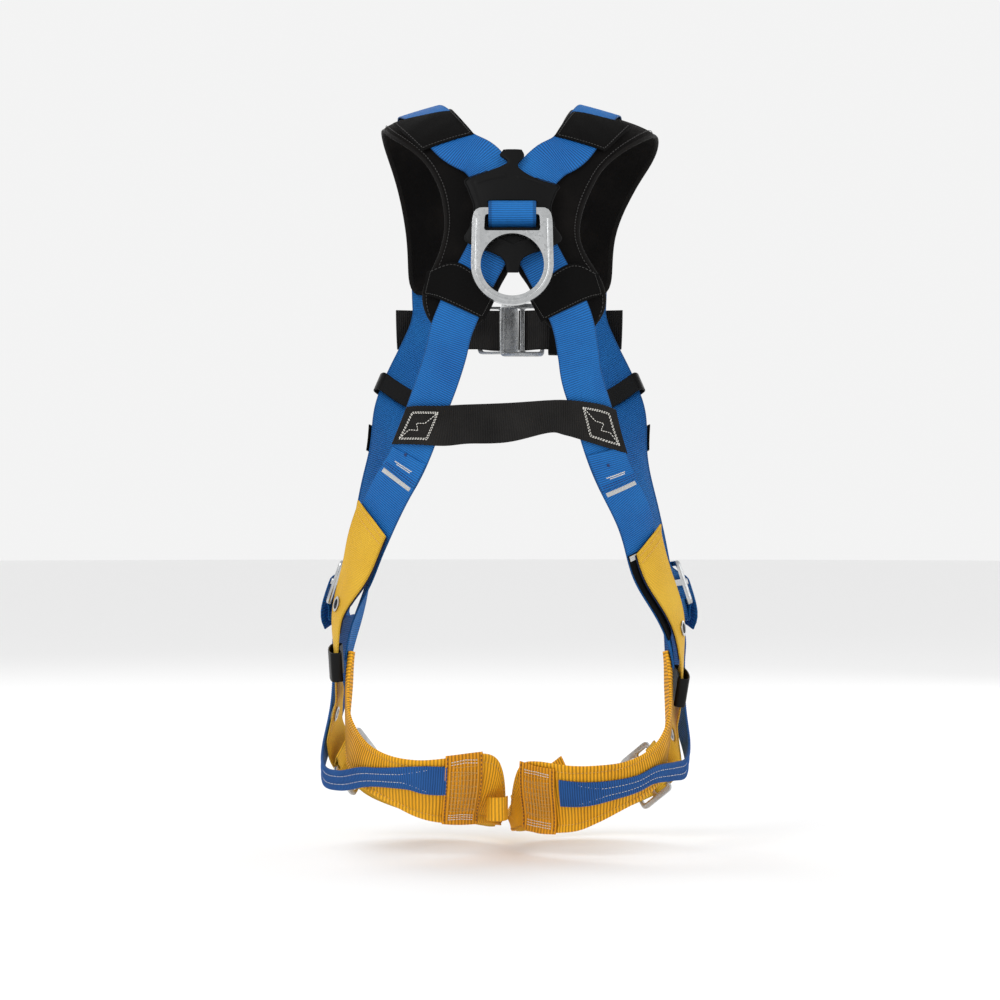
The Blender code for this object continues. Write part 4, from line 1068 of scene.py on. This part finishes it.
GROMMETS = (LEG_AT + 0.0115, 0.108, 0.230)  # the tongue stands in the first one
HOLE = 6.2 * MM            # radius of the hole in the webbing under a grommet
PRONG = [
    (0.4, -3.0), (-2.4, -2.8), (-3.9, -1.2), (-3.9, 1.2), (-2.4, 2.9), (1.5, 3.1), (5.0, 1.6), (8.4, -1.4),
    (10.5, -0.8), (13.7, 3.8), (17.0, 5.0), (21.5, 3.6), (25.4, 3.0)]
OVAL = [
    (-28, -2.8), (-26.4, 2.2), (-20, 4.2), (-10, 5.6), (0, 6.0), (10, 5.6), (20, 4.2), (26.4, 2.2),
    (28, -2.8), (26.4, -7.4), (20, -7.3), (10, -5.8), (0, -5.3), (-10, -5.8), (-20, -7.3), (-26.4, -7.4)]
BAR_LOOP = [
    (-18.0, 0.0), (-18.7, 2.2), (-21, 3.0), (-25.6, 3.0), (-28.6, 0.6), (-33, -3.0), (-40, -7.4),
    (-40.8, -9.4), (-33, -6.6), (-28, -4.2), (-24, -3.1), (-20, -2.7), (-18.6, -1.8)]
TURN = Matrix.Rotation(math.pi / 2, 4, "Z")


for label, side in SIDES:
    path = Path(LEG_ROWS[side], body=LEG[side], lifts=(LEG_LIFT,))
    leg = ribbon("leg_webbing_" + label, path, "yellow", "leg_strap_" + label, step=0.003,
                 skew=(side * 0.010, 0), columns=11)
    for k, d in enumerate(GROMMETS):
        m = path.frame(d, reach=0.004)
        bm = bmesh.new()
        bmesh.ops.create_cone(bm, cap_ends=True, segments=24, radius1=HOLE, radius2=HOLE, depth=0.009)
        bmesh.ops.transform(bm, matrix=m, verts=bm.verts)
        punch(leg, bm)
        profile = eyelet_profile(1.9 if k else 1.4)
        turn = np.linspace(0, 2 * math.pi, 32, endpoint=False)
        rings = np.stack([[m @ Vector((r * math.cos(a), r * math.sin(a), z)) for r, z in profile]
                          for a in turn])
        name = "%s_%d" % (label, k + 1)
        add("leg_eyelet_" + name, rings, skin(len(turn), len(profile), True), "grommet",
            "leg_grommet_" + name)
    m = path.frame(LEG_AT, climbs=False, raised=3.6)
    plate("leg_buckle_" + label, two_windows(62, 7, 50), 3.0, m, "steel",
          "leg_buckle_frame_" + label, round_edge=0.9)
    bend("leg_tongue_" + label, m, PRONG, 4.4 * MM, 1.8 * MM, "steel", "leg_buckle_prong_" + label,
         "prong_" + label)
    bend("leg_buckle_webbing_" + label, m, BAR_LOOP, WEB, 1.4 * MM, "yellow",
         "leg_buckle_loop_" + label, closed=True)
    k = path.frame(KEEPER_AT, reach=0.012)
    bend("leg_keeper_ring_" + label, k @ TURN, OVAL, 32 * MM, 1.6 * MM, "keeper",
         "leg_keeper_" + label, "keeper_leg_" + label, closed=True)
    # dark tape under the free end of the leg strap, a little wider than it: partly the strap's backing
    # layer, partly painted shadow along its edges
    ribbon("tail_backing_edge_shade_" + label, path, "navy", span=(0.001, 0.135), thickness=0.6 * MM, over=-0.9 * MM,
           across=(-1.05, 1.05), skew=(side * 0.010, 0))
    top = top_of(path, skew=(side * 0.010, 0))
    stitches("tail_hem_seam_" + label, top, across_at(0.9, 0.004, 0.012), "gold_thread",
             pitch=0.0032)

# ---- torso adjusters and seat straps
for label, path in (("left", PATH_A), ("right", PATH_B)):
    m = path.frame(ADJUST_AT, climbs=False, raised=5.0)
    plate("torso_adjuster_" + label, [box_outline(50, 64, 6), box_outline(39, 51, 3)], 3.0, m, "steel",
          "torso_adjuster_frame_" + label, round_edge=0.9)
    bar = m @ Matrix.Translation((0, 0, 3.1 * MM))
    plate("torso_adjuster_slider_" + label, [box_outline(7, 60, 2)], 2.4, bar, "steel",
          "torso_adjuster_bar_" + label, "adjuster_bar_" + label, round_edge=0.8)
    bend("torso_loop_webbing_" + label, m, [(a, b + 0.3 * max(0, -a - 26)) for a, b in BAR_LOOP],
         44 * MM, 1.4 * MM, "blue", "torso_loop_" + label, closed=True)

# the folded upper end, whose first row is behind the torso loop that the real strap is sewn to
SEAT_TOP = [
    (-181, 39, -547, 23.5, 0, 42), (-182, 42, -566, 25, 0, 44), (-184, 48, -600, 24, 0, 36),
    (-192, 43, -645, 24, 0, 30)]
SEAT_GROOVE = 0.38         # the sewn grooves, as a share of the strap's half width
SEAT_ROWS = {
    -1: [
        (-198, 20, -690, 26.5, 0, 24), (-196, -14, -715, 23, 0, 22), (-180, -50, -718, 14, 0, 22),
        (-158, -80, -712, 6, 0, 22), (-135, -98, -709, 3.6, 0, 22), (-108, -112, -708, 3.4, 0, 26),
        (-88, -118, -711, 3.4, 0, 33), (-66, -119, -713, 3.4, 0, 34)],
    1: [
        (197, 20, -686, 25.5, 0, 24), (190, -16, -707, 20, 0, 22), (174, -54, -708, 12, 0, 21),
        (153, -80, -708, 5, 0, 21), (132, -94, -715, 3.6, 0, 21), (108, -108, -722, 3.4, 0, 24),
        (80, -112, -727, 3.4, 0, 30), (51, -108, -727, 3.4, 0, 34)],
}


def fold_relief(flat_from):
    """Two grooves where the folded seat strap is sewn, fading out at its flat end."""
    def relief(d, v):
        folded = np.clip((flat_from - d) / 0.02, 0, 1)
        grooves = np.exp(-((np.abs(v) - SEAT_GROOVE) / 0.16)**2)
        ribs = 0.2 * MM * np.sin(2 * math.pi * d / SEAT_RIB)
        return MM * folded * (0.9 * (1 - np.abs(v)**6) - 1.3 * grooves) + ribs
    return relief


for label, side in SIDES:
    path = Path(mirrored(SEAT_TOP, side) + SEAT_ROWS[side], body=LEG[side])
    flat_from = path.length - 0.035
    ribbon("seat_strap_webbing_" + label, path, "blue_seat", "seat_strap_" + label, thickness=2.4 * MM,
           step=0.0006, columns=21, relief=fold_relief(flat_from))
    top = top_of(path, 2.4 * MM, -0.0006)
    lines = [[(0.024, s * SEAT_GROOVE), (flat_from - 0.012, s * SEAT_GROOVE), (flat_from, s * 0.55),
              (path.length - 0.018, s * 0.8)] for s in (-1, 1)]
    stitches("seat_strap_sewing_" + label, top, lines, "pale_thread", pitch=0.0036,
             share=0.8, radius=0.00035, half=0.012)

# narrow loop that joins the two leg pieces at the seat
bend("centre_loop_webbing", hang((-0.014, -0.084, -0.744), -1, 0) @ TURN,
     [(-10, -1), (-8, 4), (-4, 8), (1.5, 9), (7, 6), (10, -1), (11, -9)], 25 * MM, 2.0 * MM, "band",
     "centre_loop", per=8)

# ---- sleeves on the straps
start, end = (PATH_A.nearest(p) for p in ((147, -38, -470), (174, -10, -562)))
ribbon("hip_sleeve", PATH_A, "sleeve", "hip_sleeve_right", thickness=SLEEVE_T, step=0.003,
       span=(start, end), over=2.6 * MM, across=(-1.03, 1.03))
ribbon("hip_sleeve_label", PATH_A, "white", span=(start + 0.001, start + 0.007), across=(0.1, 0.98),
       thickness=0.4 * MM, over=3.7 * MM, step=0.001)
for label, side in SIDES:
    sleeve = Path(mirrored([(-150, 60, -372, 14.6, 2, 49), (-142, 64, -345, 12.6, 0, 49)], side))
    ribbon("front_sleeve_" + label + "_weave", sleeve, "sleeve", "front_sleeve_" + label,
           thickness=1.4 * MM, step=0.003)

# ---- chest strap
CHEST_Z = -228
CHEST_CLIMB = {-1: 11.6, 1: 9.6}            # each half rises by this to the buckle
CHEST_BUCKLE_AT = {-1: 0.117, 1: 0.115}     # distances from the sewn ends
CHEST_KEEPER_AT = 0.076
LANYARD_KEEPER_AT = 0.269
for label, side in SIDES:
    rows = [(-114, 78, CHEST_Z, 15), (-86, 96, CHEST_Z, 15.4), (-62, 105, CHEST_Z, 11),
            (-42, 110, CHEST_Z, 5), (-10, 114, CHEST_Z, 4)]
    climb = CHEST_CLIMB[side]
    path = Path(mirrored(rows, side), lifts=((0.108, ((-12, 0), (5, climb), (40, climb))),))
    ribbon("chest_webbing_" + label, path, "black", "chest_strap_" + label, step=0.0008,
           relief=woven(BLACK_RIB, 0.0003))
    top = top_of(path, over=0.0002)
    box = box_line(0.020, 0.011, 0.66)
    stitches("chest_box_stitch_" + label, top, [box + [box[2], box[1], box[3]]], "pale_thread",
             pitch=0.003)
    if side > 0:
        m = path.frame(CHEST_BUCKLE_AT[side], climbs=False, raised=3.4)
        plate("chest_buckle", two_windows(60, 6, 49), 2.6, m, "steel", "chest_buckle_frame")
        k = path.frame(CHEST_KEEPER_AT)
        bend("chest_keeper_ring", k @ TURN, [(x, y + 0.0035 * x * x) for x, y in OVAL], 18 * MM,
             1.6 * MM, "sleeve", "chest_keeper", "keeper_chest", closed=True)
    else:
        m = path.frame(CHEST_BUCKLE_AT[side], climbs=False, raised=7.6)
        plate("chest_buckle_tongue", [box_outline(46, 54, 6), box_outline(20, 48, 3, -7.5)], 2.4, m,
              "steel", "chest_buckle_plate")
for label, path in (("left", PATH_A), ("right", PATH_B)):
    k = path.frame(LANYARD_KEEPER_AT, reach=0.010)
    bend("lanyard_keeper_ring_" + label, k @ TURN, OVAL, 22 * MM, 1.6 * MM, "keeper",
         "lanyard_keeper_" + label, "keeper_lanyard_" + label, closed=True)

# ---- floor, light and camera
FLOOR_GAP = 0.012          # the harness hangs this far above the floor
floor_mesh = bpy.data.meshes.new("floor")
bm = bmesh.new()
bmesh.ops.create_circle(bm, cap_ends=True, segments=96, radius=14)
bmesh.ops.translate(bm, verts=bm.verts, vec=(0, 0, CAD_BOX[0].z - FLOOR_GAP))
bm.to_mesh(floor_mesh)
bm.free()
paper = bpy.data.materials.new("pale_floor")
paper.use_nodes = True
put(paper.node_tree.nodes["Principled BSDF"], {"Base Color": (0.90, 0.90, 0.90, 1), "Roughness": 0.9})
floor_mesh.materials.append(paper)
scene_object("floor", floor_mesh)

world = bpy.data.worlds.new("studio")
world.use_nodes = True
put(world.node_tree.nodes["Background"], {"Color": (1, 1, 1, 1), "Strength": 0.9})
bpy.context.scene.world = world
bpy.context.scene.view_settings.view_transform = "Standard"


def softbox(name, place, aim, size, power):
    light = bpy.data.lights.new(name, "AREA")
    light.shape = "RECTANGLE"
    light.size, light.size_y = size
    light.energy = power
    ob = scene_object(name, light)
    ob.location = place
    ob.rotation_mode = "QUATERNION"
    ob.rotation_quaternion = (Vector(aim) - Vector(place)).to_track_quat("-Z", "Y")


MIDDLE = (0, 0, -0.4)
softbox("key", (-1.6, -2.2, 1.2), MIDDLE, (1.2, 1.6), 26)
softbox("fill", (2.0, -1.8, 0.2), MIDDLE, (1.6, 1.8), 9)
softbox("back_left", (-1.2, 2.0, 1.2), MIDDLE, (1.4, 1.4), 14)
softbox("back_right", (1.6, 1.9, 0.4), MIDDLE, (1.4, 1.4), 10)

camera_data = bpy.data.cameras.new("photo_view")
camera_data.lens, camera_data.sensor_width = 96, 36
camera_data.clip_start, camera_data.clip_end = 0.05, 60
camera = scene_object("photo_view", camera_data)
camera.location = (-0.0104, -2.885, -0.42)
camera.rotation_euler = (math.pi / 2, 0, 0)
bpy.context.scene.camera = camera
